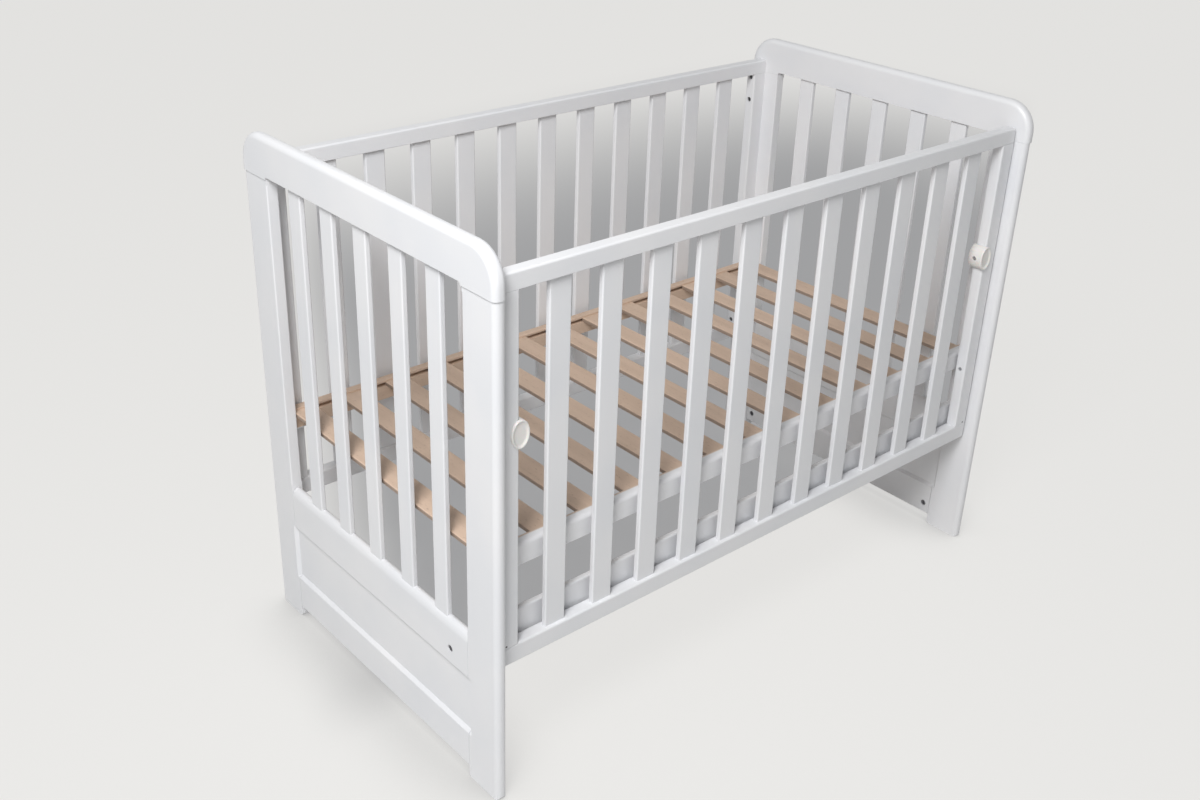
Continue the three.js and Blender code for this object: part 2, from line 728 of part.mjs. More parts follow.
// Counterbored holes through the fixed side's stile for the bolts into the back post
function sideBoltHole(z) {
  const inner = innerFace - stileWidth;
  const seat = inner + boltHeadRecess + boltHeadHeight;
  const steps = [[inner - past, boltHeadRadius + clearance], [seat, boltHeadRadius + clearance],
    [seat, boltRadius + clearance], [innerFace + past, boltRadius + clearance]];
  return turned('x', backMiddle, z, steps, 10);
}

// The whole cot
const cot = new THREE.Group();

function show(name, geometry, material) {
  const mesh = new THREE.Mesh(geometry, materials[material]());
  mesh.name = name;
  cot.add(mesh);
}

const front = sideFrame(frontFace, frontHalf);
const back = sideFrame(backFace - sideDepth, innerFace);
const dropStile = cutAway(front.stile, [...latchBores(), trackGroove(), trackScrewHole()]);
const backStile = cutAway(back.stile, sideBoltHeights.map(sideBoltHole));

// Pieces that both ends have, as they are at the far end
const endPieces = {
  front_post: [post(-1), 'white'],
  back_post: [post(1), 'white'],
  top_rail: [endTopRail(), 'white'],
  mid_rail_and_slats: [midRailAndSlats(), 'white'],
  lower_panel: [lowerPanel(), 'white'],
  bottom_rail: [bottomRail(), 'white'],
  barrel_nut: [barrelNut(), 'steel'],
  guide_track: [guideTrack(), 'track'],
  drop_side_stile: [dropStile, 'white'],
  upper_guide_peg: [guidePeg(highPegHeight, 0), 'zinc'],
  lower_guide_peg: [guidePeg(lowPegHeight, 0), 'zinc'],
  latch_bolt: [latchBolt(), 'zinc'],
  latch_bush: [latchBush(), 'ivory'],
  latch_spring: [latchSpring(), 'steel'],
  release_knob: [releaseKnob(), 'ivory'],
  knob_screw: [knobScrew(), 'zinc'],
  back_side_stile: [backStile, 'white'],
  front_bracket: [bracket(-1), 'zinc'],
  back_bracket: [bracket(1), 'zinc'],
  front_bracket_bolt: [bracketBolt(-1), 'steel'],
  back_bracket_bolt: [bracketBolt(1), 'steel'],
};
for (const [name, [solid, material]] of Object.entries(endPieces)) {
  const geometry = toGeometry(solid);
  show(`far_${name}`, geometry, material);
  show(`near_${name}`, mirrored(geometry), material);
}

show('drop_side_top_rail', toGeometry(front.topRail), 'white');
show('drop_side_bottom_rail', toGeometry(cutAway(front.bottomRail, front.mortises)), 'white');
front.slats.forEach((slat, index) => {
  show(`drop_side_slat_${String(index + 1).padStart(2, '0')}`, toGeometry(slat), 'white');
});
show('back_side_top_rail', toGeometry(back.topRail), 'white');
show('back_side_bottom_rail_and_slats', toGeometry(together([back.bottomRail, ...back.slats])), 'white');
show('base_front_rail', toGeometry(baseRail(-1)), 'beech');
show('base_back_rail_and_slats', toGeometry(baseRailAndSlats()), 'beech');

export default cot;
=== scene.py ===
# %% [markdown]
# A white wooden cot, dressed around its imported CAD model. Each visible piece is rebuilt
# here with soft edges and a proper finish, rides on the body of the piece it stands for,
# and hides that piece.

# %% Load the frame
import bpy
import bmesh
import json
import math
from functools import partial
from mathutils import Matrix, Vector


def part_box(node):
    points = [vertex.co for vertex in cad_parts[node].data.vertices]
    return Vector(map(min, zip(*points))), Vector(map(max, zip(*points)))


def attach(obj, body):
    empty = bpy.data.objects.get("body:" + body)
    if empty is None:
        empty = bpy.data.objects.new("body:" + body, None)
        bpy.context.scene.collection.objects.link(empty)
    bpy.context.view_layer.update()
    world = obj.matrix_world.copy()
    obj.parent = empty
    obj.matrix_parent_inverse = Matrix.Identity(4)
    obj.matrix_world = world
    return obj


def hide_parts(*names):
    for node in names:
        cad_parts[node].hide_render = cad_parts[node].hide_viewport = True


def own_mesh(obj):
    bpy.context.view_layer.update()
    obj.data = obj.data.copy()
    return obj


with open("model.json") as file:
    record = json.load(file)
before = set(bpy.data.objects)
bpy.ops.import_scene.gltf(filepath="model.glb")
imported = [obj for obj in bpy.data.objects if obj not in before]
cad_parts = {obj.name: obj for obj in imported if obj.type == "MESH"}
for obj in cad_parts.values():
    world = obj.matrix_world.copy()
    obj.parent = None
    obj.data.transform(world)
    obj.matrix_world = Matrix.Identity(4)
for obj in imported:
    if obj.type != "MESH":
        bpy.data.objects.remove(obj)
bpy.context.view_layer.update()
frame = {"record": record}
NODE_BODY = {}
for body_name, members in frame["record"]["behaviour"]["bodies"].items():
    for member in members:
        NODE_BODY[member] = body_name


def placed(name, data):
    """A new object in the scene."""
    made = bpy.data.objects.new(name, data)
    bpy.context.scene.collection.objects.link(made)
    return made


# %% [markdown]
# The photograph is a perspective view from the front left and above. Its camera was found by
# fitting the edges of the cot, so the render lines up with it. The lens is given by the focal
# length in pixels of a 1200 pixel wide frame, and a small shift puts the view's centre right.

# %% Camera
PHOTO_WIDTH = 1200
PHOTO_HEIGHT = 800
SENSOR = 36.0
CAMERA_PLACE = Vector((-1.5778, -1.6303, 1.5768))
YAW = 0.8476
PITCH = -0.4648
ROLL = 0.0330
FOCAL_PIXELS = 1322.4
CENTRE_PIXEL = (595.0, 372.1)

forward = Vector((math.cos(YAW) * math.cos(PITCH), math.sin(YAW) * math.cos(PITCH), math.sin(PITCH)))
level = Vector((math.sin(YAW), -math.cos(YAW), 0.0))
upright = level.cross(forward)
right = level * math.cos(ROLL) + upright * math.sin(ROLL)
up = upright * math.cos(ROLL) - level * math.sin(ROLL)
turn = Matrix((right, up, -forward)).transposed()

lens = bpy.data.cameras.new("camera")
lens.sensor_width = SENSOR
lens.lens = FOCAL_PIXELS / PHOTO_WIDTH * SENSOR
lens.shift_x = (PHOTO_WIDTH / 2 - CENTRE_PIXEL[0]) / PHOTO_WIDTH
lens.shift_y = (CENTRE_PIXEL[1] - PHOTO_HEIGHT / 2) / PHOTO_WIDTH
lens.clip_end = 50.0
camera = placed("camera", lens)
camera.matrix_world = Matrix.Translation(CAMERA_PLACE) @ turn.to_4x4()
bpy.context.scene.camera = camera
print(f"lens {lens.lens:.2f} mm, shift {lens.shift_x:.4f}, {lens.shift_y:.4f}")

# %% [markdown]
# Finishes are node materials. One function adds every node: it sets the options first, because
# some of them change the sockets, and then the inputs. Maths between sockets reads best as
# plain expressions, so a small class wraps a socket and turns +, - and * into Math nodes.

# %% Nodes and shader maths
def feed(tree, socket, value):
    """Sets a socket's value, or links it to the socket of another node."""
    if isinstance(value, Term):
        value = value.socket
    if isinstance(value, bpy.types.NodeSocket):
        tree.links.new(value, socket)
    else:
        socket.default_value = value


def add_node(tree, kind, settings=None, inputs=None, output=0):
    """An output of a new node, from its type, its settings and what its inputs get."""
    made = tree.nodes.new(kind)
    for key, value in (settings or {}).items():
        setattr(made, key, value)
    for key, value in (inputs or {}).items():
        feed(tree, made.inputs[key], value)
    return made.outputs[output]


class Term:
    """A shader socket that can be used in Python arithmetic."""

    def __init__(self, finish, socket):
        self.finish = finish
        self.socket = socket

    def maths(self, operation, *others, clamp=False):
        settings = {"operation": operation, "use_clamp": clamp}
        return self.finish.node("ShaderNodeMath", settings, dict(enumerate((self, *others))))

    def __add__(self, other):
        return self.maths("ADD", other)

    def __mul__(self, other):
        return self.maths("MULTIPLY", other)

    def __sub__(self, other):
        return self.maths("SUBTRACT", other)

    def __rsub__(self, other):
        return (self * -1.0) + other

    def within(self, low, high):
        """0 below low, 1 above high, and a smooth step between."""
        return self.finish.node("ShaderNodeMapRange", {"interpolation_type": "SMOOTHSTEP"}, {
            "Value": self, "From Min": low, "From Max": high}, "Result")


class Finish:
    """A material under construction."""

    def __init__(self, name):
        self.material = bpy.data.materials.new(name)
        self.material.use_nodes = True
        self.tree = self.material.node_tree
        self.surface = self.tree.nodes["Principled BSDF"]

    def node(self, kind, settings, inputs, output=0):
        return Term(self, add_node(self.tree, kind, settings, inputs, output))

    def place(self, stretch=(1, 1, 1), shift=(0, 0, 0)):
        """Object coordinates, stretched and shifted."""
        where = self.node("ShaderNodeTexCoord", {}, {}, "Object")
        return self.node("ShaderNodeMapping", {}, {"Vector": where, "Scale": stretch, "Location": shift})

    def noise(self, where, scale, detail=3.0, roughness=0.5):
        return self.node("ShaderNodeTexNoise", {}, {
            "Vector": where, "Scale": scale, "Detail": detail, "Roughness": roughness}, "Fac")

    def mix(self, share, first, second):
        """A mix of two colours, which a Mix node takes at sockets 6 and 7 and gives at 2."""
        return self.node("ShaderNodeMix", {"data_type": "RGBA"}, {0: share, 6: first, 7: second}, 2)

    def bump(self, height, strength, distance):
        return self.node("ShaderNodeBump", {}, {"Height": height, "Strength": strength, "Distance": distance})

    def set(self, **inputs):
        for key, value in inputs.items():
            feed(self.tree, self.surface.inputs[key.replace("_", " ")], value)
        return self.material


def shade(r, g, b):
    return (r, g, b, 1.0)


# %% [markdown]
# The white is a sprayed satin paint over solid wood. It is nearly even, but the grain still
# shows as faint ridges along each board, the gloss wanders a little, and the colour shifts
# by a hair between warm and cool. The ridges run along the board, so there is one paint for
# each direction. They come from noise that is stretched along the board.

# %% Paint
ALONG = {"x": (0.035, 1, 1), "y": (1, 0.035, 1), "z": (1, 1, 0.035)}
WHITE = shade(0.795, 0.797, 0.812)
WHITE_COOL = shade(0.755, 0.765, 0.79)


def white_paint(direction):
    finish = Finish(f"white_paint_{direction}")
    grain = finish.noise(finish.place(ALONG[direction]), 420.0, 4.0, 0.6)
    spray = finish.noise(finish.place(), 1400.0, 2.0)
    cloud = finish.noise(finish.place(), 7.0, 2.0)
    colour = finish.mix(cloud.within(0.3, 0.75), WHITE, WHITE_COOL)
    relief = grain * 0.7 + spray * 0.3
    return finish.set(
        Base_Color=colour,
        Roughness=cloud * 0.08 + spray * 0.06 + 0.30,
        Normal=finish.bump(relief, 0.28, 0.0004),
        Coat_Weight=0.12,
        Coat_Roughness=0.22,
    )


paint = {direction: white_paint(direction) for direction in ALONG}
print("paints:", [material.name for material in paint.values()])

# %% [markdown]
# The base is bare beech under a thin matt lacquer. Beech is pinkish tan with long soft bands,
# fine fibres, and many short dark flecks. Each slat comes from another board, so it carries
# its own number, which shifts the pattern and tints the colour. The slats' sides are given a
# much darker colour than their faces, so the colour also follows how far a face is turned up or
# down. The front rail shows its painted face to the outside, so its finish turns into paint there.

# %% Beech
BEECH_LIGHT = shade(0.665, 0.497, 0.38)
BEECH_DARK = shade(0.525, 0.385, 0.287)
BEECH_FLECK = shade(0.33, 0.215, 0.15)
BEECH_EDGE = shade(0.32, 0.24, 0.19)
FLECKS = {"x": (0.16, 1, 1), "y": (1, 0.16, 1)}


def beech(direction, name, painted_from=None, painted_to=None, dark_sides=False):
    finish = Finish(name)
    board = finish.node("ShaderNodeAttribute", {"attribute_name": "board"}, {}, "Fac")
    jump = finish.node("ShaderNodeCombineXYZ", {}, {"X": board * 3.1, "Y": board * 5.3, "Z": board * 7.7})
    shifted, speckled = (
        finish.node("ShaderNodeVectorMath", {"operation": "ADD"}, {0: finish.place(stretch), 1: jump})
        for stretch in (ALONG[direction], FLECKS[direction]))
    bands = finish.noise(shifted, 38.0, 3.0, 0.55)
    fibres = finish.noise(shifted, 520.0, 4.0, 0.6)
    flecks = finish.noise(speckled, 620.0, 1.0)
    tint = (board * 17.3).maths("FRACT")
    share = bands.within(0.3, 0.7) * 0.6 + fibres * 0.3 + tint * 0.35 - 0.15
    colour = finish.mix(share.maths("ADD", 0.0, clamp=True), BEECH_LIGHT, BEECH_DARK)
    colour = finish.mix(flecks.within(0.66, 0.74) * 0.55, colour, BEECH_FLECK)
    # Faces that stand upright get a much darker colour than faces that lie flat.
    if dark_sides:
        faces = finish.node("ShaderNodeNewGeometry", {}, {}, "Normal")
        lying = finish.node("ShaderNodeSeparateXYZ", {}, {0: faces}, "Z").maths("ABSOLUTE")
        colour = finish.mix(lying.within(0.2, 0.75), BEECH_EDGE, colour)
    roughness = fibres * 0.16 + 0.46
    if painted_from is not None:
        height = finish.node("ShaderNodeSeparateXYZ", {}, {0: finish.place()}, "Y")
        bare = height.within(painted_from, painted_to)
        colour = finish.mix(bare, WHITE, colour)
        roughness = roughness * bare + (1 - bare) * 0.36
    return finish.set(
        Base_Color=colour,
        Roughness=roughness,
        Normal=finish.bump(fibres * 0.6 + flecks * 0.4, 0.35, 0.0004),
    )


BASE_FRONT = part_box("base_front_rail")[0].y
beech_slats = beech("y", "beech_slats", dark_sides=True)
beech_rail = beech("x", "beech_rail")
beech_painted = beech("x", "beech_rail_painted_face", BASE_FRONT + 0.013, BASE_FRONT + 0.018)
print("beech finishes ready")

# %% [markdown]
# The knobs are moulded in ivory plastic with a soft gloss and a faint moulded texture. Light
# goes a little way into it. The guide tracks are grey extruded plastic with fine draw lines.

# %% Plastics
IVORY = shade(0.82, 0.80, 0.78)
IVORY_DEEP = shade(0.78, 0.76, 0.73)
TRACK_GREY = shade(0.43, 0.44, 0.44)
TRACK_LIGHT = shade(0.50, 0.51, 0.51)


def ivory_plastic():
    finish = Finish("ivory_plastic")
    cloud = finish.noise(finish.place(), 60.0, 2.0)
    texture = finish.noise(finish.place(), 2600.0, 2.0)
    return finish.set(
        Base_Color=finish.mix(cloud, IVORY, IVORY_DEEP),
        Roughness=texture * 0.10 + 0.30,
        Normal=finish.bump(texture, 0.12, 0.0002),
        Subsurface_Weight=0.12,
        Subsurface_Scale=0.002,
        Coat_Weight=0.1,
    )


def track_plastic():
    finish = Finish("track_plastic")
    lines = finish.noise(finish.place(ALONG["z"]), 900.0, 2.0)
    return finish.set(
        Base_Color=finish.mix(lines, TRACK_GREY, TRACK_LIGHT),
        Roughness=lines * 0.15 + 0.42,
        Normal=finish.bump(lines, 0.2, 0.0002),
    )


ivory = ivory_plastic()
grey_track = track_plastic()

# %% [markdown]
# The fittings are plated steel. Plating is bright but not mirror-like, with a fine cloudy
# bloom, and the bolts are burnished darker. Both are full metals, so their look comes from
# roughness that varies over small patches.

# %% Metals
def plated(name, light, dark, rough):
    finish = Finish(name)
    bloom = finish.noise(finish.place(), 240.0, 4.0, 0.6)
    scratch = finish.noise(finish.place((1, 1, 0.1)), 1500.0, 2.0)
    return finish.set(
        Base_Color=finish.mix(bloom, light, dark),
        Metallic=1.0,
        Roughness=bloom * 0.18 + scratch * 0.08 + rough,
        Normal=finish.bump(scratch, 0.1, 0.0001),
    )


zinc = plated("zinc_plate", shade(0.62, 0.63, 0.65), shade(0.50, 0.51, 0.53), 0.22)
dark_steel = plated("dark_steel", shade(0.20, 0.20, 0.21), shade(0.12, 0.12, 0.125), 0.26)
print("finishes:", len(bpy.data.materials))

# %% [markdown]
# Each board starts as an outline that is pushed along one axis. The outline has fine arcs
# where the real edge is rounded. Boards, turned pieces, knobs and springs are all rings of
# points, which one helper joins and closes. Sizes are in millimetres, as in the model, and
# turn into metres where a mesh is made.

# %% Outlines and boards
MM = 0.001
ARC_STEPS = 8
TURNS = {
    "z": lambda a, b, c: (a, b, c),
    "x": lambda a, b, c: (c, a, b),
    "y": lambda a, b, c: (b, c, a),
}


def quarter(steps=ARC_STEPS, start=0):
    """The angles of a quarter turn in equal steps, after start quarter turns."""
    return [(start + step / steps) * math.pi / 2 for step in range(steps + 1)]


def arc(a, b, radius, start, steps=ARC_STEPS):
    """Quarter circle about (a, b), counter-clockwise from start quarter turns."""
    return [(a + radius * math.cos(angle), b + radius * math.sin(angle)) for angle in quarter(steps, start)]


def rectangle(a0, a1, b0, b1, radii=(0, 0, 0, 0)):
    """Rectangle whose corners have their own radii: low-low, high-low, high-high, low-high."""
    low_low, high_low, high_high, low_high = radii
    corners = [
        (a1 - high_low, b0 + high_low, high_low, 3), (a1 - high_high, b1 - high_high, high_high, 0),
        (a0 + low_high, b1 - low_high, low_high, 1), (a0 + low_low, b0 + low_low, low_low, 2)]
    points = []
    for a, b, radius, start in corners:
        points += arc(a, b, radius, start) if radius > 0 else [(a, b)]
    return points


def mesh_piece(name, points, faces):
    """Object at the origin from points in millimetres and faces that point outwards."""
    mesh = bpy.data.meshes.new(name)
    mesh.from_pydata([tuple(value * MM for value in point) for point in points], [], faces)
    mesh.validate()
    return placed(name, mesh)


def ring_piece(name, points, count):
    """A piece whose points form rings of count points each, closed at both ends."""
    last = len(points) - count
    faces = []
    for start in range(0, last, count):
        for i in range(count):
            a, b = start + i, start + (i + 1) % count
            faces.append((a, b, b + count, a + count))
    faces += [tuple(reversed(range(count))), tuple(range(last, last + count))]
    return mesh_piece(name, points, faces)


def board(name, outline, axis, low, high):
    """An outline pushed along an axis from low to high."""
    turn_point = TURNS[axis]
    points = [turn_point(a, b, c) for c in (low, high) for a, b in outline]
    return ring_piece(name, points, len(outline))


def block(name, x0, x1, y0, y1, z0, z1):
    return board(name, rectangle(x0, x1, y0, y1), "z", z0, z1)


# %% [markdown]
# Round pieces are turned: a row of steps, each a place along the axis and a radius, is spun
# round. Joining and cutting uses the Boolean modifier, whose result replaces the mesh at
# once, so that no modifier stays behind.

# %% Turning and cutting
def circle(sides):
    """The angles of a full turn in equal steps."""
    return [side / sides * 2 * math.pi for side in range(sides)]


def turned(name, axis, a, b, steps, sides=40):
    """Solid turned about the line along axis through (a, b)."""
    turn_point = TURNS[axis]
    points = [turn_point(a + radius * math.cos(angle), b + radius * math.sin(angle), place)
              for place, radius in steps for angle in circle(sides)]
    return ring_piece(name, points, sides)


def settle(piece):
    """Replaces a piece's mesh by what its modifiers make of it, and removes them."""
    graph = bpy.context.evaluated_depsgraph_get()
    made = bpy.data.meshes.new_from_object(piece.evaluated_get(graph))
    piece.modifiers.clear()
    piece.data = made
    return piece


def carve(piece, tools, operation="DIFFERENCE"):
    for tool in tools:
        step = piece.modifiers.new("carve", "BOOLEAN")
        step.operation = operation
        step.solver = "EXACT"
        step.object = tool
        settle(piece)
        bpy.data.objects.remove(tool)
    return piece


# %% [markdown]
# A painted board never has a knife edge. Every edge that is still sharp gets a narrow bevel,
# which catches the light as a thin bright line and darkens the joints between boards. Faces
# then shade smoothly across rounded parts and stay crisp where the angle is large.

# %% Softening
def soften(piece, width=0.8, segments=2, corner=38):
    bevel = piece.modifiers.new("soft edges", "BEVEL")
    bevel.limit_method = "ANGLE"
    bevel.angle_limit = math.radians(corner)
    bevel.width = width * MM
    bevel.segments = segments
    return settle(piece)


def smooth(piece, crease=30):
    mesh = piece.data
    mesh.polygons.foreach_set("use_smooth", [True] * len(mesh.polygons))
    mesh.set_sharp_from_angle(angle=math.radians(crease))
    weighting = piece.modifiers.new("flat faces stay flat", "WEIGHTED_NORMAL")
    weighting.keep_sharp = True
    return settle(piece)


def clad(piece, material):
    piece.data.materials.clear()
    piece.data.materials.append(material)
    return piece


def stand_for(piece, material, *nodes, body=None):
    """Finishes a piece that stands for CAD nodes, or that only rides on a body."""
    clad(smooth(piece), material)
    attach(piece, body or NODE_BODY[nodes[0]])
    if nodes:
        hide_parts(*nodes)
    return piece


def mirror_copy(piece, name):
    """The same piece at the near end, on the other side of X = 0."""
    copy = piece.data.copy()
    copy.transform(Matrix.Scale(-1, 4, Vector((1, 0, 0))))
    copy.flip_normals()
    return placed(name, copy)


def both_ends(make, material, node):
    """Makes a far end piece and its mirror image, and sets both in place of their nodes."""
    far = make(f"visible_far_{node}")
    near = mirror_copy(far, f"visible_near_{node}")
    for piece, end in ((far, "far"), (near, "near")):
        stand_for(piece, material, f"{end}_{node}")
    return far, near


# %% [markdown]
# The end panels carry everything. A post is a board of 21 by 76 mm whose outer edge is a full
# round nose. Its foot corners are rounded, its inner edges are eased between the rails, and a
# sloping bevel leads to the lower panel. The outline across the post gives the nose, and a
# second outline from the side, kept where both overlap, gives the foot. A front post also has
# two holes for the guide pegs and a slot that the latch bolt slides down in, behind the stile.

# %% Posts
INNER = 605.0
THICK = 21.0
OUTER = INNER + THICK
MIDDLE = INNER + THICK / 2
POST_EDGE = 349.5
POST_INNER = 273.5
POST_TOP = 875.0
RAIL_LOW = 880.0
BOTTOM_LOW, BOTTOM_TOP = 22.0, 95.0
MID_LOW, MID_TOP = 198.0, 286.0
NOSE = 10.0
FOOT = 7.0
EASE = 2.5
RECESS = 6.0
FRONT_MIDDLE = -315.5
BACK_MIDDLE = 321.5
LATCH_SLOT = (444.0, 654.0)
SLOT_DEEP, SLOT_HALF = 8.7, 5.0
PEG_HOLE_DEEP, PEG_HOLE = 14.3, 4.3
PEG_HEIGHTS = {"upper": 425.0, "lower": 282.0}


def recess_wedges():
    """Cutters for the sloping bevel round the lower panel, on the inner and the outer face."""
    wedges = []
    for face, towards in ((INNER, -1), (OUTER, 1)):
        points = []
        for depth in (-1.0, RECESS):
            grow = RECESS - depth
            across, low, high = POST_INNER + grow, BOTTOM_TOP - grow, MID_LOW + grow
            x = face - towards * depth
            points += [(x, -across, low), (x, across, low), (x, across, high), (x, -across, high)]
        faces = [(0, 1, 2, 3), (7, 6, 5, 4), (0, 4, 5, 1), (1, 5, 6, 2), (2, 6, 7, 3), (3, 7, 4, 0)]
        wedge = mesh_piece("wedge", points, faces)
        outward(wedge)
        wedges.append(wedge)
    return wedges


def outward(piece):
    """Turns all faces of a closed mesh to the outside."""
    shape = bmesh.new()
    shape.from_mesh(piece.data)
    bmesh.ops.remove_doubles(shape, verts=shape.verts, dist=1e-6)
    bmesh.ops.recalc_face_normals(shape, faces=shape.faces)
    shape.to_mesh(piece.data)
    shape.free()
    return piece


def hole(axis, a, b, low, high, radius, sides=40):
    return outward(turned("hole", axis, a, b, [(low, radius), (high, radius)], sides))


def ease_tool(x, towards, side):
    """Concave quarter round that eases one long inner edge of a post between the joints."""
    y = side * POST_INNER
    outline = [(x + towards, y - side), (x - towards * EASE, y - side)]
    for angle in quarter(5):
        outline.append((x - towards * EASE * (1 - math.sin(angle)), y + side * EASE * (1 - math.cos(angle))))
    outline.append((x + towards, y + side * EASE))
    return outward(board("ease", outline, "z", MID_TOP + 9, POST_TOP - 9))


def post(side):
    def make(name):
        low, high = sorted((side * POST_EDGE, side * POST_INNER))
        nose = (NOSE, NOSE, 0, 0) if side < 0 else (0, 0, NOSE, NOSE)
        piece = board(name, rectangle(INNER, OUTER, low, high, nose), "z", 0, POST_TOP)
        side_outline = rectangle(low, high, 0, POST_TOP + 1, (FOOT, FOOT, 0, 0))
        carve(piece, [board("side view", side_outline, "x", INNER - 1, OUTER + 1)], "INTERSECT")
        if side < 0:
            slot = block("slot", INNER - 1, INNER + SLOT_DEEP, FRONT_MIDDLE - SLOT_HALF,
                         FRONT_MIDDLE + SLOT_HALF, *LATCH_SLOT)
            pegs = [hole("x", FRONT_MIDDLE, z, INNER - 1, INNER + PEG_HOLE_DEEP, PEG_HOLE)
                    for z in PEG_HEIGHTS.values()]
            carve(piece, [slot] + pegs)
        carve(piece, recess_wedges())
        soften(piece)
        return carve(piece, [ease_tool(INNER, -1, side), ease_tool(OUTER, 1, side)])
    return make


for side, node in ((-1, "front_post"), (1, "back_post")):
    both_ends(post(side), paint["z"], node)
print("posts ready")

# %% [markdown]
# The top rail lies across both posts. Its top edge and its rounded corners carry one continuous
# nose, as a router leaves it. The board is a stack of rings, each the same outline drawn
# inwards a little as it nears a face, so the nose has an even radius all the way round. The
# underside is then cut so that it rests on the posts and arches up between them.

# %% Top rails
LENGTH_HALF = 628.0
WIDTH_HALF = 351.0
HEIGHT = 948.0
CORNER = 55.0


def end_top_rail(name):
    rings = [(INNER + NOSE * (1 - math.cos(angle)), NOSE * (1 - math.sin(angle))) for angle in quarter()]
    rings += [(LENGTH_HALF + INNER - x, inset) for x, inset in reversed(rings)]
    points = []
    for x, inset in rings:
        radius = CORNER - inset
        edge = WIDTH_HALF - inset
        outline = rectangle(-edge, edge, POST_TOP - 30, HEIGHT - inset, (0, 0, radius, radius))
        points += [(x, y, z) for y, z in outline]
    rail = outward(ring_piece(name, points, len(outline)))
    drop = RAIL_LOW - POST_TOP
    under = [(-WIDTH_HALF - 1, POST_TOP - 40), (WIDTH_HALF + 1, POST_TOP - 40), (WIDTH_HALF + 1, POST_TOP)]
    under += arc(POST_INNER - drop, POST_TOP, drop, 0, 5)
    under += arc(-POST_INNER + drop, POST_TOP, drop, 1, 5)
    under += [(-WIDTH_HALF - 1, POST_TOP)]
    carve(rail, [board("under", under, "x", INNER - 2, LENGTH_HALF + 2)])
    return soften(rail)


both_ends(end_top_rail, paint["y"], "top_rail")
print("top rails ready")

# %% [markdown]
# Below, a mid rail with a softly rounded top edge carries the slats, a thin panel sits in a
# groove, and a bottom rail closes the end. The mid rail is held to the front post by a
# slotted barrel nut, whose round hole shows on the outside. The bottom rail has the same
# nuts on its inside, near each post. A hair of room at the rails' ends shows the joints.

# %% Lower rails and panel
MID_ROUND = 17.0
PANEL_THICK = 9.0
NUT_Y, NUT_Z = -225.5, 232.0
LOW_NUTS = [(-257.5, 43.5), (257.5, 43.5)]
NUT_HOLE, NUT_HOLE_DEEP = 6.3, 18.5
NUT_SUNK = 1.5
JOINT_GAP = 0.9


def mid_rail(name):
    shoulder = MID_TOP - MID_ROUND
    outline = [(MID_LOW, INNER)] + [
        (shoulder + MID_ROUND * math.sin(angle), MIDDLE - THICK / 2 * math.cos(angle))
        for angle in (step / 20 * math.pi for step in range(21))] + [(MID_LOW, OUTER)]
    end = POST_INNER - JOINT_GAP
    rail = outward(board(name, outline, "y", -end, end))
    carve(rail, recess_wedges())
    soften(rail, 0.6)
    return carve(rail, [hole("x", NUT_Y, NUT_Z, OUTER - NUT_HOLE_DEEP, OUTER + 2, NUT_HOLE)])


def lower_panel(name):
    half, tongue = PANEL_THICK / 2, 7.0
    across = POST_INNER + tongue
    return block(name, MIDDLE - half, MIDDLE + half, -across, across, BOTTOM_TOP - tongue, MID_LOW + tongue)


def bottom_rail(name):
    outline = rectangle(BOTTOM_LOW, BOTTOM_TOP, INNER, OUTER, (EASE, 0, 0, EASE))
    end = POST_INNER - JOINT_GAP
    rail = outward(board(name, outline, "y", -end, end))
    carve(rail, recess_wedges())
    soften(rail, 0.6)
    return carve(rail, [hole("x", y, z, INNER - 2, INNER + NUT_HOLE_DEEP, NUT_HOLE) for y, z in LOW_NUTS])


both_ends(mid_rail, paint["y"], "mid_rail_and_slats")
both_ends(lower_panel, paint["y"], "lower_panel")
both_ends(bottom_rail, paint["y"], "bottom_rail")
print("lower rails and panels ready")

# %% [markdown]
# Slats repeat, so one Geometry Nodes tree makes every row of them. A rounded rectangle is
# filled and pushed out to one slat, and a line of points sets the copies. Each copy keeps a
# number of its own, which the beech finish uses to vary the boards. The row starts at its
# first slat's middle, and its slats run along Z unless they are turned.

# %% Slat row tree
def new_tree(name, inputs):
    """A tree with a geometry output, its given inputs, and a function that adds nodes to it."""
    tree = bpy.data.node_groups.new(name, "GeometryNodeTree")
    for label, kind in inputs.items():
        tree.interface.new_socket(name=label, in_out="INPUT", socket_type=f"NodeSocket{kind}")
    tree.interface.new_socket(name="Geometry", in_out="OUTPUT", socket_type="NodeSocketGeometry")
    return tree, tree.nodes.new("NodeGroupInput").outputs, partial(add_node, tree)


def hand_out(tree, copies):
    """Ends a tree: its copies become one real mesh."""
    real = add_node(tree, "GeometryNodeRealizeInstances", None, {"Geometry": copies})
    tree.links.new(real, tree.nodes.new("NodeGroupOutput").inputs["Geometry"])
    return tree


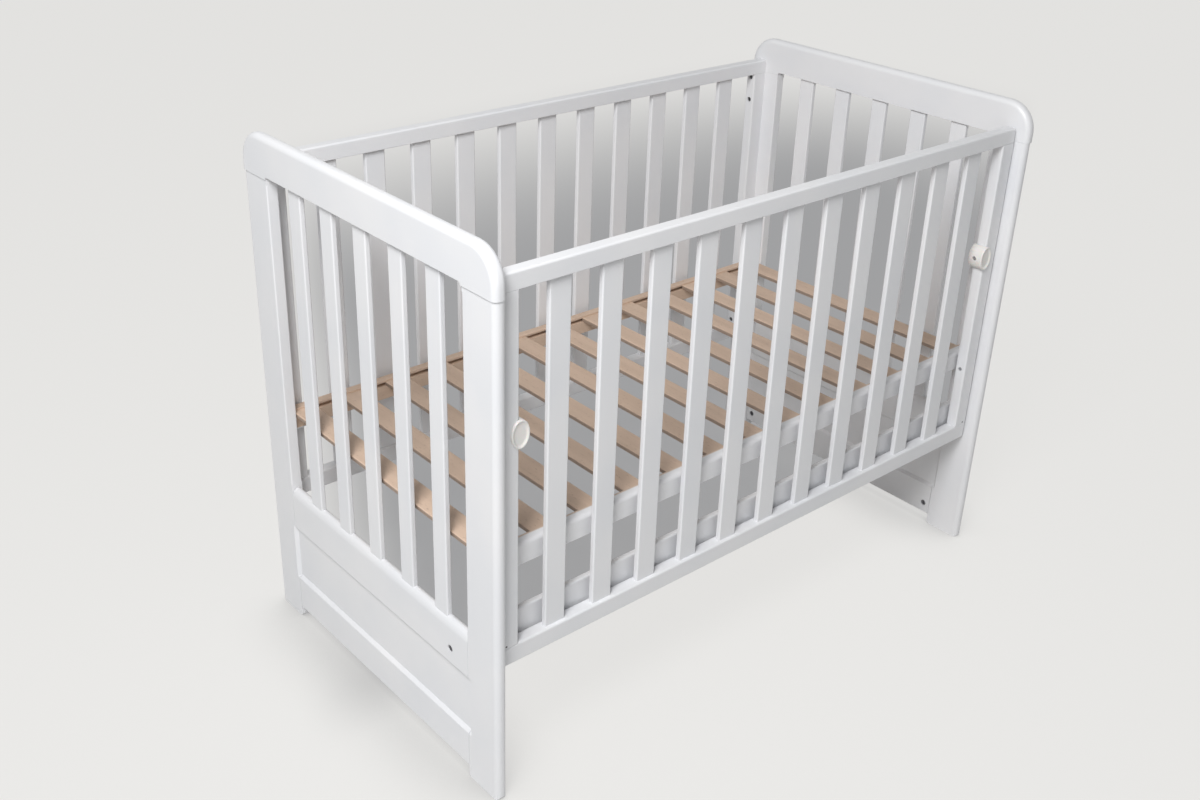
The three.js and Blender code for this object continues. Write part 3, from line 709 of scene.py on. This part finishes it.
def slat_row_tree():
    tree, given, add = new_tree("slat row", {
        "Count": "Int", "First": "Vector", "Step": "Vector", "Width": "Float", "Thickness": "Float",
        "Edge": "Float", "Reach": "Float", "Turn": "Vector"})
    flat = add("GeometryNodeCurvePrimitiveQuadrilateral", None, {
        "Width": given["Width"], "Height": given["Thickness"]})
    eased = add("GeometryNodeFilletCurve", {"mode": "POLY"}, {
        "Curve": flat, "Count": 5, "Radius": given["Edge"]})
    filled = add("GeometryNodeFillCurve", {"mode": "NGONS"}, {"Curve": eased})
    lift = add("ShaderNodeCombineXYZ", None, {"Z": given["Reach"]})
    pushed = add("GeometryNodeExtrudeMesh", None, {"Mesh": filled, "Offset": lift, "Individual": False})
    under = add("GeometryNodeFlipFaces", None, {"Mesh": filled})
    joined = tree.nodes.new("GeometryNodeJoinGeometry")
    tree.links.new(pushed, joined.inputs[0])
    tree.links.new(under, joined.inputs[0])
    slat = add("GeometryNodeMergeByDistance", None, {"Geometry": joined.outputs[0], "Distance": 1e-6})
    row = add("GeometryNodeMeshLine", None, {
        "Count": given["Count"], "Start Location": given["First"], "Offset": given["Step"]})
    copies = add("GeometryNodeInstanceOnPoints", None, {
        "Points": row, "Instance": slat, "Rotation": given["Turn"]})
    number = add("GeometryNodeInputIndex")
    share = add("ShaderNodeMath", {"operation": "MULTIPLY_ADD"}, {0: number, 1: 0.618, 2: 0.25})
    marked = add("GeometryNodeStoreNamedAttribute", {"data_type": "FLOAT", "domain": "INSTANCE"}, {
        "Geometry": copies, "Name": "board", "Value": share})
    return hand_out(tree, marked)


SLAT_ROW = slat_row_tree()


def run_tree(piece, tree, values):
    """Turns a piece into the plain mesh that a tree makes from it and from named values."""
    step = piece.modifiers.new("tree", "NODES")
    step.node_group = tree
    for item in tree.interface.items_tree:
        if item.in_out == "INPUT" and item.name in values:
            step[item.identifier] = values[item.name]
    return settle(piece)


def slat_row(name, count, first, step, width, thickness, reach, turn=(0, 0, 0), edge=2.5):
    return run_tree(mesh_piece(name, [(0, 0, 0)], []), SLAT_ROW, {
        "Count": count, "First": [v * MM for v in first], "Step": [v * MM for v in step],
        "Width": width * MM, "Thickness": thickness * MM, "Edge": edge * MM, "Reach": reach * MM,
        "Turn": [math.radians(v) for v in turn]})


# %% [markdown]
# The end slats stand in the mid rail and the top rail, five at each end. The side slats are a
# little wider and stand across from each other in the front and back sides.

# %% End slats
END_SLATS = 5
END_SLAT_WIDTH = 36.0
SLAT_THICK = 10.0
TENON, MID_TENON = 6.0, 11.0
end_gap = (2 * POST_INNER - END_SLATS * END_SLAT_WIDTH) / (END_SLATS + 1)
end_pitch = END_SLAT_WIDTH + end_gap
end_start = -POST_INNER + end_gap + END_SLAT_WIDTH / 2
for end, sign in (("near", -1), ("far", 1)):
    row = slat_row(f"visible_{end}_end_slats", END_SLATS, (sign * MIDDLE, end_start, MID_TOP - MID_TENON),
                   (0, end_pitch, 0), END_SLAT_WIDTH, SLAT_THICK,
                   RAIL_LOW + TENON - MID_TOP + MID_TENON, turn=(0, 0, 90))
    stand_for(row, paint["z"], f"{end}_mid_rail_and_slats")
print(f"end slats: gap {end_gap:.1f} mm, pitch {end_pitch:.1f} mm")

# %% [markdown]
# The drop side is a frame of two stiles between two rails, with all its outer edges rounded
# over. A groove in each stile's outer face runs on pegs in the front post. The back side is
# the same frame, only longer, and bolted to the back posts. One loop makes the pieces of both,
# from the place and the reach of each.

# %% Side frames
SIDE_LOW, SIDE_TOP = 242.0, 901.0
STILE_LOW, STILE_TOP = 276.0, 873.0
SIDE_DEPTH = 23.0
STILE = 33.0
SIDE_EDGE = 3.5
SIDE_SLATS = 11
SIDE_SLAT_WIDTH = 40.0
FRONT_HALF = 600.0
slat_room = 2 * (FRONT_HALF - STILE)
side_gap = (slat_room - SIDE_SLATS * SIDE_SLAT_WIDTH) / (SIDE_SLATS + 1)
side_pitch = SIDE_SLAT_WIDTH + side_gap
side_start = -slat_room / 2 + side_gap + SIDE_SLAT_WIDTH / 2


def side_rail(name, middle, half, low, high, radii):
    outline = rectangle(middle - SIDE_DEPTH / 2, middle + SIDE_DEPTH / 2, low, high, radii)
    return soften(outward(board(name, outline, "x", -half, half)), 0.9)


def side_slats(name, middle):
    return slat_row(name, SIDE_SLATS, (side_start, middle, STILE_LOW - TENON), (side_pitch, 0, 0),
                    SIDE_SLAT_WIDTH, SLAT_THICK, STILE_TOP - STILE_LOW + 2 * TENON)


def side_stile(middle, half, cutters):
    def make(name):
        r = SIDE_EDGE
        front, back = middle - SIDE_DEPTH / 2, middle + SIDE_DEPTH / 2
        outline = rectangle(half - STILE, half, front, back, (r, 0, 0, r))
        stile = soften(outward(board(name, outline, "z", STILE_LOW, STILE_TOP)), 0.5)
        return carve(stile, cutters())
    return make


KNOB_Z = 649.0
LATCH_BORE, LATCH_BORE_DEEP = 8.1, 25.0
BOLT_HOLE = 4.8
TRACK_SCREW_Z = 405.0
TRACK_PIN_Z = 280.0
TRACK_PIN_IN = 9.4
TRACK_LOW, TRACK_TOP = 276.0, 630.0
TRACK_HALF, TRACK_DEPTH = 6.2, 8.7
BACK_BOLTS = [283.0, 333.0, 816.0, 866.0]


def drop_stile_cutters():
    at = FRONT_HALF - STILE
    sink = [(at - 1, 5.0), (at + 2, 2.0), (at + 24.3, 2.0)]
    half = TRACK_HALF + 0.3
    groove = block("groove", FRONT_HALF - TRACK_DEPTH - 0.3, FRONT_HALF + 1, FRONT_MIDDLE - half,
                   FRONT_MIDDLE + half, TRACK_LOW - 1, TRACK_TOP)
    return [hole("x", FRONT_MIDDLE, KNOB_Z, at - 1, at + LATCH_BORE_DEEP, LATCH_BORE),
            hole("x", FRONT_MIDDLE, KNOB_Z, at, FRONT_HALF + 1, BOLT_HOLE),
            outward(turned("sink", "x", FRONT_MIDDLE, TRACK_SCREW_Z, sink)), groove]


def back_stile_cutters():
    at = INNER - STILE
    return [hole("x", BACK_MIDDLE, z, at - 1, at + 8, 5.3) for z in BACK_BOLTS]


top_edges = (1, 1, SIDE_EDGE, SIDE_EDGE)
low_edges = (SIDE_EDGE,) * 4
drop_slats = [f"drop_side_slat_{number + 1:02d}" for number in range(SIDE_SLATS)]
back_low = "back_side_bottom_rail_and_slats"
for label, middle, half, low_node, slat_nodes, cutters in (
        ("drop", FRONT_MIDDLE, FRONT_HALF, "drop_side_bottom_rail", drop_slats, drop_stile_cutters),
        ("back", BACK_MIDDLE, INNER, back_low, [back_low], back_stile_cutters)):
    stand_for(side_rail(f"visible_{label}_top_rail", middle, half, STILE_TOP, SIDE_TOP, top_edges),
              paint["x"], f"{label}_side_top_rail")
    stand_for(side_rail(f"visible_{label}_bottom_rail", middle, half, SIDE_LOW, STILE_LOW, low_edges),
              paint["x"], low_node)
    stand_for(side_slats(f"visible_{label}_slats", middle), paint["z"], *slat_nodes)
    both_ends(side_stile(middle, half, cutters), paint["z"], f"{label}_side_stile")
print(f"side slats: gap {side_gap:.1f} mm, pitch {side_pitch:.1f} mm")

# %% [markdown]
# The base lies between the posts on four brackets. Its two rails have a groove along their
# inner faces for the slats' tongues, and the slats end just inside the rails. From outside
# only the painted face of the front rail shows, with a rounded top edge. Between the slats the
# groove shows as a shadow line, so it is part of the rail's outline.

# %% Base
BASE_HALF = 604.0
BASE_LOW, BASE_TOP = 398.0, 437.0
SLAT_TOP = 434.0
GROOVE_LOW, GROOVE_HIGH, GROOVE_DEEP = 424.7, 432.3, 10.0
FRONT_RAIL = (-300.0, -281.0)
BACK_RAIL = (287.0, 306.0)
BASE_SLATS = 13
BASE_SLAT_WIDTH = 44.0
BASE_SLAT_THICK = 9.0
SLAT_LAP = 1.0


def base_rail(name, outside, inside, radius):
    """A rail with a rounded top edge on its outside and a groove along its inside."""
    way = math.copysign(1, outside - inside)
    deep = inside + way * GROOVE_DEEP
    rounded = [(outside - way * (radius - a), BASE_TOP - radius + b)
               for a, b in arc(0, 0, radius, 0, 6)]
    outline = [(outside, BASE_LOW)] + rounded + [
        (inside, BASE_TOP), (inside, GROOVE_HIGH), (deep, GROOVE_HIGH), (deep, GROOVE_LOW),
        (inside, GROOVE_LOW), (inside, BASE_LOW)]
    return soften(outward(board(name, outline, "x", -BASE_HALF, BASE_HALF)))


stand_for(base_rail("visible_base_front_rail", *FRONT_RAIL, 7.0), beech_painted, "base_front_rail")
stand_for(base_rail("visible_base_back_rail", BACK_RAIL[1], BACK_RAIL[0], 3.5), beech_rail,
          "base_back_rail_and_slats")
base_pitch = (2 * BASE_HALF - BASE_SLAT_WIDTH) / (BASE_SLATS - 1)
base_slats = slat_row("visible_base_slats", BASE_SLATS,
                      (-BASE_HALF + BASE_SLAT_WIDTH / 2, FRONT_RAIL[1] - SLAT_LAP,
                       SLAT_TOP - BASE_SLAT_THICK / 2),
                      (base_pitch, 0, 0), BASE_SLAT_WIDTH, BASE_SLAT_THICK,
                      BACK_RAIL[0] - FRONT_RAIL[1] + 2 * SLAT_LAP, turn=(-90, 0, 0))
stand_for(base_slats, beech_slats, "base_back_rail_and_slats")
print(f"base slats: pitch {base_pitch:.1f} mm, gap {base_pitch - BASE_SLAT_WIDTH:.1f} mm")

# %% [markdown]
# A plain thin board with eased edges ties the two front posts together below the base, just
# behind the drop side, because a side that slides can't hold the ends. Its upper part shows in
# the gaps above the drop side's bottom rail. It is the one board that only this script has.

# %% Lower front rail
LOW_RAIL_DEPTH = (-300.0, -289.0)
LOW_RAIL_HEIGHT = (244.0, 317.0)
LOW_RAIL_EDGES = (2, 2, 3, 3)


def lower_front_rail():
    outline = rectangle(*LOW_RAIL_DEPTH, *LOW_RAIL_HEIGHT, LOW_RAIL_EDGES)
    end = INNER - 0.4
    return soften(outward(board("visible_lower_front_rail", outline, "x", -end, end)))


stand_for(lower_front_rail(), paint["x"], body="cot_frame")
print("lower front rail ready")

# %% [markdown]
# A grey plastic channel lines the groove in each stile of the drop side, and the two steel
# pegs of the front post run in it. The base's brackets are bent steel, and a button-headed
# bolt holds each one to its post.

# %% Guide tracks, pegs and brackets
BASE_BRACKETS = {"front": -290.5, "back": 296.5}
BRACKET_BOLT_Z = 371.0


def guide_track(name):
    wall = 1.2
    inner, floor = TRACK_HALF - wall, TRACK_DEPTH - wall
    corners = [(0, -TRACK_HALF), (0, -inner), (floor, -inner), (floor, inner), (0, inner), (0, TRACK_HALF),
               (TRACK_DEPTH, TRACK_HALF), (TRACK_DEPTH, -TRACK_HALF)]
    outline = [(FRONT_HALF - deep, FRONT_MIDDLE + y) for deep, y in corners]
    return soften(outward(board(name, outline, "z", TRACK_LOW, TRACK_TOP)), 0.25)


def guide_peg(z):
    tip = FRONT_HALF - 6.7
    steps = [(tip, 3.9), (tip + 0.7, 4.5), (INNER, 4.5), (INNER, 4), (INNER + 14, 4)]
    return lambda name: outward(turned(name, "x", FRONT_MIDDLE, z, steps))


def bracket(y):
    def make(name):
        thin, foot, leg, bend = 2.5, 30.0, 40.0, 1.5
        corners = [(0, -foot), (-thin, -foot), (-thin, -thin - bend), (-thin - bend, -thin), (-leg, -thin),
                   (-leg, 0), (-bend, 0), (0, -bend)]
        outline = [(BASE_LOW + z, INNER + x) for z, x in corners]
        angle = soften(outward(board(name, outline, "y", y - 8, y + 8)), 0.5)
        return carve(angle, [hole("x", y, BRACKET_BOLT_Z, INNER - 4, INNER + 1, 3.3)])
    return make


def bracket_bolt(y):
    def make(name):
        seat = INNER - 2.5
        button = [(-3.5, 2.6), (-3.1, 3.5), (-2.2, 4.4), (-1.0, 4.9), (0.0, 5.0), (0.0, 3.0)]
        steps = [(seat + place, radius) for place, radius in button] + [(INNER + 15, 3.0)]
        bolt = outward(turned(name, "x", y, BRACKET_BOLT_Z, steps))
        return carve(bolt, [hole("x", y, BRACKET_BOLT_Z, seat - 4, seat - 1.4, 2.2, 6)])
    return make


both_ends(guide_track, grey_track, "guide_track")
for level, z in PEG_HEIGHTS.items():
    both_ends(guide_peg(z), zinc, f"{level}_guide_peg")
for side, y in BASE_BRACKETS.items():
    both_ends(bracket(y), zinc, f"{side}_bracket")
    both_ends(bracket_bolt(y), dark_steel, f"{side}_bracket_bolt")
print("tracks, pegs and brackets ready")

# %% [markdown]
# The release knob is the one piece a hand touches. It is an oval block that straddles the
# stile's inner edge, moulded with a rolled rim round a shallow dish for the fingers. It is
# lofted from oval rings: each ring has a place from front to back and a distance that it is
# drawn in. A slot for the stile and a recess for the screw are cut out of it afterwards.

# %% Release knobs
KNOB_X = 567.0
KNOB_FRONT, KNOB_BACK = -331.3, -301.2
KNOB_TALL, KNOB_ACROSS = 47.0, 33.0
KNOB_SIDES = 96
DISH = [(15.5, 2.5), (12.0, 2.5), (8.0, 2.46), (6.3, 2.36), (5.4, 2.1), (4.6, 1.6), (3.8, 0.95), (3.1, 0.42),
        (2.6, 0.14), (2.2, 0.02)]


def release_knob(name):
    rings = [(KNOB_FRONT + deep, inset) for inset, deep in DISH]
    edge = 1.7
    rim = [(edge * (1 - math.cos(angle)), edge * (1 - math.sin(angle))) for angle in quarter(6)]
    rings += [(KNOB_FRONT + deep, inset) for deep, inset in rim]
    rings += [(KNOB_BACK - deep, inset) for deep, inset in reversed(rim)]
    points = [(KNOB_X + (KNOB_ACROSS / 2 - inset) * math.cos(angle), y,
               KNOB_Z + (KNOB_TALL / 2 - inset) * math.sin(angle))
              for y, inset in rings for angle in circle(KNOB_SIDES)]
    knob = outward(ring_piece(name, points, KNOB_SIDES))
    half = SIDE_DEPTH / 2 + 0.3
    slot = block("slot", KNOB_X - 0.3, KNOB_X + 30, FRONT_MIDDLE - half, FRONT_MIDDLE + half,
                 KNOB_Z - 40, KNOB_Z + 40)
    edge_x = KNOB_X - KNOB_ACROSS / 2
    recess = hole("x", FRONT_MIDDLE, KNOB_Z, edge_x - 1, edge_x + 3.4, 4.3)
    return carve(knob, [slot, recess])


def knob_screw(name):
    head = KNOB_X - KNOB_ACROSS / 2 + 1
    screw = outward(turned(name, "x", FRONT_MIDDLE, KNOB_Z, [
        (head, 3.2), (head + 0.4, 3.8), (head + 1.2, 4.0), (head + 2.4, 4.0), (head + 2.4, 2.0),
        (head + 18, 2.0)]))
    arms = [block("arm", head - 1, head + 1.2, FRONT_MIDDLE - a, FRONT_MIDDLE + a, KNOB_Z - b, KNOB_Z + b)
            for a, b in ((0.5, 2.4), (2.4, 0.5))]
    return carve(screw, arms)


def latch_bolt(name):
    return turned(name, "x", FRONT_MIDDLE, KNOB_Z, [
        (558, 4.5), (588.7, 4.5), (588.7, 7.5), (591.7, 7.5), (591.7, 4.5), (610.7, 4.5), (611.7, 3.5)])


def latch_bush(name):
    bush = outward(turned(name, "x", FRONT_MIDDLE, KNOB_Z, [(567, 7.4), (567.4, 7.8), (572, 7.8)]))
    return carve(bush, [hole("x", FRONT_MIDDLE, KNOB_Z, 566, 573, BOLT_HOLE)])


both_ends(release_knob, ivory, "release_knob")
both_ends(knob_screw, zinc, "knob_screw")
both_ends(latch_bolt, zinc, "latch_bolt")
both_ends(latch_bush, ivory, "latch_bush")
print("knobs ready")

# %% [markdown]
# The latch spring is a wire of 1.2 mm wound four times round the bolt. Pulling the knob moves
# the bolt's collar towards the bush and squeezes the spring.

# %% Latch springs
def latch_spring(name):
    start, end, coil, wire, turns, sides, per_turn = 572.9, 588.1, 6.15, 0.6, 4, 10, 32
    points = []
    rings = turns * per_turn + 1
    for ring in range(rings):
        share = ring / (rings - 1)
        angle = share * turns * 2 * math.pi
        x = start + share * (end - start)
        for around in circle(sides):
            radius = coil + wire * math.cos(around)
            points.append((x + wire * math.sin(around), FRONT_MIDDLE + radius * math.cos(angle),
                           KNOB_Z + radius * math.sin(angle)))
    return outward(ring_piece(name, points, sides))


for spring, joint, sign in zip(both_ends(latch_spring, dark_steel, "latch_spring"),
                               ("far_latch_pull", "near_latch_pull"), (1, -1)):
    sign * 0.572
    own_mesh(spring)
print("springs ready")

# %% [markdown]
# Small fasteners finish the joints: socket bolts deep in the back stiles, slotted barrel nuts,
# screws and pins. Another Geometry Nodes tree sets a modelled head on each of a list of places and
# turns it to face the right way.

# %% Fastener tree
def fastener_tree():
    tree, given, add = new_tree("fasteners", {"Places": "Geometry", "Head": "Object", "Turn": "Vector"})
    head = add("GeometryNodeObjectInfo", None, {"Object": given["Head"]}, "Geometry")
    return hand_out(tree, add("GeometryNodeInstanceOnPoints", None, {
        "Points": given["Places"], "Instance": head, "Rotation": given["Turn"]}))


FASTENERS = fastener_tree()


def socket_head():
    head = outward(turned("head", "z", 0, 0, [(-6, 5.0), (-0.5, 5.0), (0, 4.5)], 32))
    return carve(head, [hole("z", 0, 0, -3, 1, 2.4, 6)])


def slotted_nut():
    nut = outward(turned("nut", "z", 0, 0, [(-15, 6.0), (-0.5, 6.0), (0, 5.5)], 32))
    return carve(nut, [block("slot", -7, 7, -0.9, 0.9, -2, 1)])


def cross_slot(reach, low, high):
    return [block("arm", -a, a, -b, b, low, high) for a, b in ((reach, 0.45), (0.45, reach))]


def cross_screw():
    head = outward(turned("screw", "z", 0, 0, [(-2.3, 2.0), (-0.2, 4.1), (0, 4.0)], 32))
    return carve(head, cross_slot(2.4, -1.2, 1))


def pin_head():
    return outward(turned("pin", "z", 0, 0, [(-4, 2.1), (-0.1, 2.1), (0.15, 1.7)], 24))


def pan_screw():
    steps = [(-4, 1.8), (0, 1.8), (0, 3.8), (1.2, 3.6), (1.9, 2.7), (2.2, 1.2)]
    head = outward(turned("screw", "z", 0, 0, steps, 32))
    return carve(head, cross_slot(2.2, 1.0, 3))


def fasteners(label, make_head, places, turn, material, body):
    """The same fasteners at both ends, each a piece of its own that rides on a body."""
    head = make_head()
    far = run_tree(mesh_piece(f"visible_far_{label}", places, []), FASTENERS, {
        "Head": head, "Turn": [math.radians(v) for v in turn]})
    near = mirror_copy(far, f"visible_near_{label}")
    bpy.data.objects.remove(head)
    for piece in (far, near):
        stand_for(piece, material, body=body)
    print(label, "x", 2 * len(places))


fasteners("back_side_bolts", socket_head, [(INNER - STILE + 2, BACK_MIDDLE, z) for z in BACK_BOLTS],
          (0, -90, 0), dark_steel, "cot_frame")
fasteners("bottom_rail_nuts", slotted_nut, [(INNER + NUT_SUNK, y, z) for y, z in LOW_NUTS], (0, -90, 0),
          dark_steel, "cot_frame")
fasteners("track_screws", cross_screw, [(FRONT_HALF - STILE, FRONT_MIDDLE, TRACK_SCREW_Z)], (0, -90, 0),
          zinc, "drop_side")
fasteners("track_pins", pin_head, [(FRONT_HALF - TRACK_PIN_IN, FRONT_MIDDLE - SIDE_DEPTH / 2, TRACK_PIN_Z)],
          (90, 0, 0), dark_steel, "drop_side")
fasteners("bracket_screws", pan_screw, [(INNER - 18, y, BASE_LOW - 2.5) for y in BASE_BRACKETS.values()],
          (180, 0, 0), zinc, "cot_frame")


# %% [markdown]
# The barrel nut in each mid rail is the one fastener that shows on an end's outer face: a steel
# cylinder sunk a little below the paint, with a screwdriver slot across it.

# %% Mid rail nuts
def barrel_nut(name):
    end = OUTER - NUT_SUNK
    nut = outward(turned(name, "x", NUT_Y, NUT_Z, [(end - 16.5, 6.0), (end - 0.5, 6.0), (end, 5.5)]))
    return carve(nut, [block("slot", end - 2, end + 1, NUT_Y - 0.9, NUT_Y + 0.9, NUT_Z - 7, NUT_Z + 7)])


both_ends(barrel_nut, dark_steel, "barrel_nut")

# %% [markdown]
# The studio is a pale floor that runs into a background of its far tone. To the camera most
# of the floor's light is its own, which keeps it even. That light carries one broad, soft
# painted shadow, which starts under the cot and falls away behind it, and painted contact shade
# from ambient occlusion round each foot. Rays that light the cot meet a plain matt floor.

# %% Floor
BACKDROP = shade(0.783, 0.776, 0.760)
GLOW = shade(0.836, 0.829, 0.812)
SHADOW = shade(0.36, 0.362, 0.37)
CONTACT_SHADE = shade(0.42, 0.42, 0.42)
HORIZON = shade(0.757, 0.750, 0.735)
GLOW_SHARE = 0.88


def pale_floor():
    finish = Finish("floor")
    x, y = (finish.node("ShaderNodeSeparateXYZ", {}, {0: finish.place()}, axis) for axis in "XY")
    # The painted shadow's sides are slanting lines through the far front foot and the near back foot.
    right_side = (x - 0.626) * -0.50 + (y + 0.35) * 0.865
    left_side = (x + 0.628) * 0.90 - (y - 0.351) * 0.43
    shadow = y.within(-0.10, 0.05) * (1 - y.within(1.4, 3.2)) * (1 - x.within(2.2, 4.2))
    shadow = shadow * right_side.within(0.0, 0.10) * left_side.within(0.0, 0.3)
    open_sky = finish.node("ShaderNodeAmbientOcclusion", {"samples": 16}, {"Distance": 0.22}, "AO")
    # Painted shade: the floor's own light darkens inside the painted shadow and where ambient occlusion finds
    # something close above.
    tone = finish.mix(open_sky.within(0.1, 0.95), CONTACT_SHADE, finish.mix(shadow, GLOW, SHADOW))
    glow = finish.node("ShaderNodeEmission", {}, {"Color": tone})
    rays = [finish.node("ShaderNodeLightPath", {}, {}, kind) for kind in ("Is Camera Ray", "Is Glossy Ray")]
    share = rays[0].maths("MAXIMUM", rays[1]) * GLOW_SHARE
    mixed = finish.node("ShaderNodeMixShader", {}, {0: share, 1: finish.surface.outputs[0], 2: glow})
    feed(finish.tree, finish.tree.nodes["Material Output"].inputs["Surface"], mixed)
    return finish.set(Base_Color=BACKDROP, Roughness=0.9)


floor_mesh = bpy.data.meshes.new("floor")
floor_mesh.from_pydata([(-12, -12, 0), (12, -12, 0), (12, 12, 0), (-12, 12, 0)], [], [(0, 1, 2, 3)])
floor = placed("floor", floor_mesh)
floor.data.materials.append(pale_floor())
print("floor ready")

# %% [markdown]
# The key light is made of two soft panels, high at the front left and rather near, so the drop
# side gets darker towards its far end. The even light of the world keeps the inside readable.
# The background's colour is only for the camera and for reflections, so it adds no light.

# %% World and lights
FILL_COLOUR = shade(0.98, 0.99, 1.0)
FILL_STRENGTH = 0.255
world = bpy.data.worlds.new("studio")
bpy.context.scene.world = world
world.use_nodes = True
sky = world.node_tree
sky.nodes.clear()
add = partial(add_node, sky)
fill = add("ShaderNodeBackground", None, {"Color": FILL_COLOUR, "Strength": FILL_STRENGTH})
seen = add("ShaderNodeBackground", None, {"Color": HORIZON, "Strength": 1.0})
rays = [add("ShaderNodeLightPath", output=kind) for kind in ("Is Camera Ray", "Is Glossy Ray")]
either = add("ShaderNodeMath", {"operation": "MAXIMUM"}, {0: rays[0], 1: rays[1]})
blend = add("ShaderNodeMixShader", None, {0: either, 1: fill, 2: seen})
sky.links.new(blend, sky.nodes.new("ShaderNodeOutputWorld").inputs["Surface"])


def soft_light(name, place, size, watts):
    """A square panel that faces the middle of the cot."""
    lamp = bpy.data.lights.new(name, "AREA")
    lamp.shape = "SQUARE"
    lamp.size = size
    lamp.energy = watts
    stand = placed(name, lamp)
    towards = Vector((0, 0, 0.5)) - Vector(place)
    stand.rotation_euler = towards.to_track_quat("-Z", "Y").to_euler()
    stand.location = place


soft_light("key", (-2.0, -1.1, 3.0), 1.0, 64)
soft_light("front key", (-2.0, -1.5, 2.5), 0.8, 29)
bpy.context.scene.view_settings.view_transform = "Standard"
print("lights:", len(bpy.data.lights))
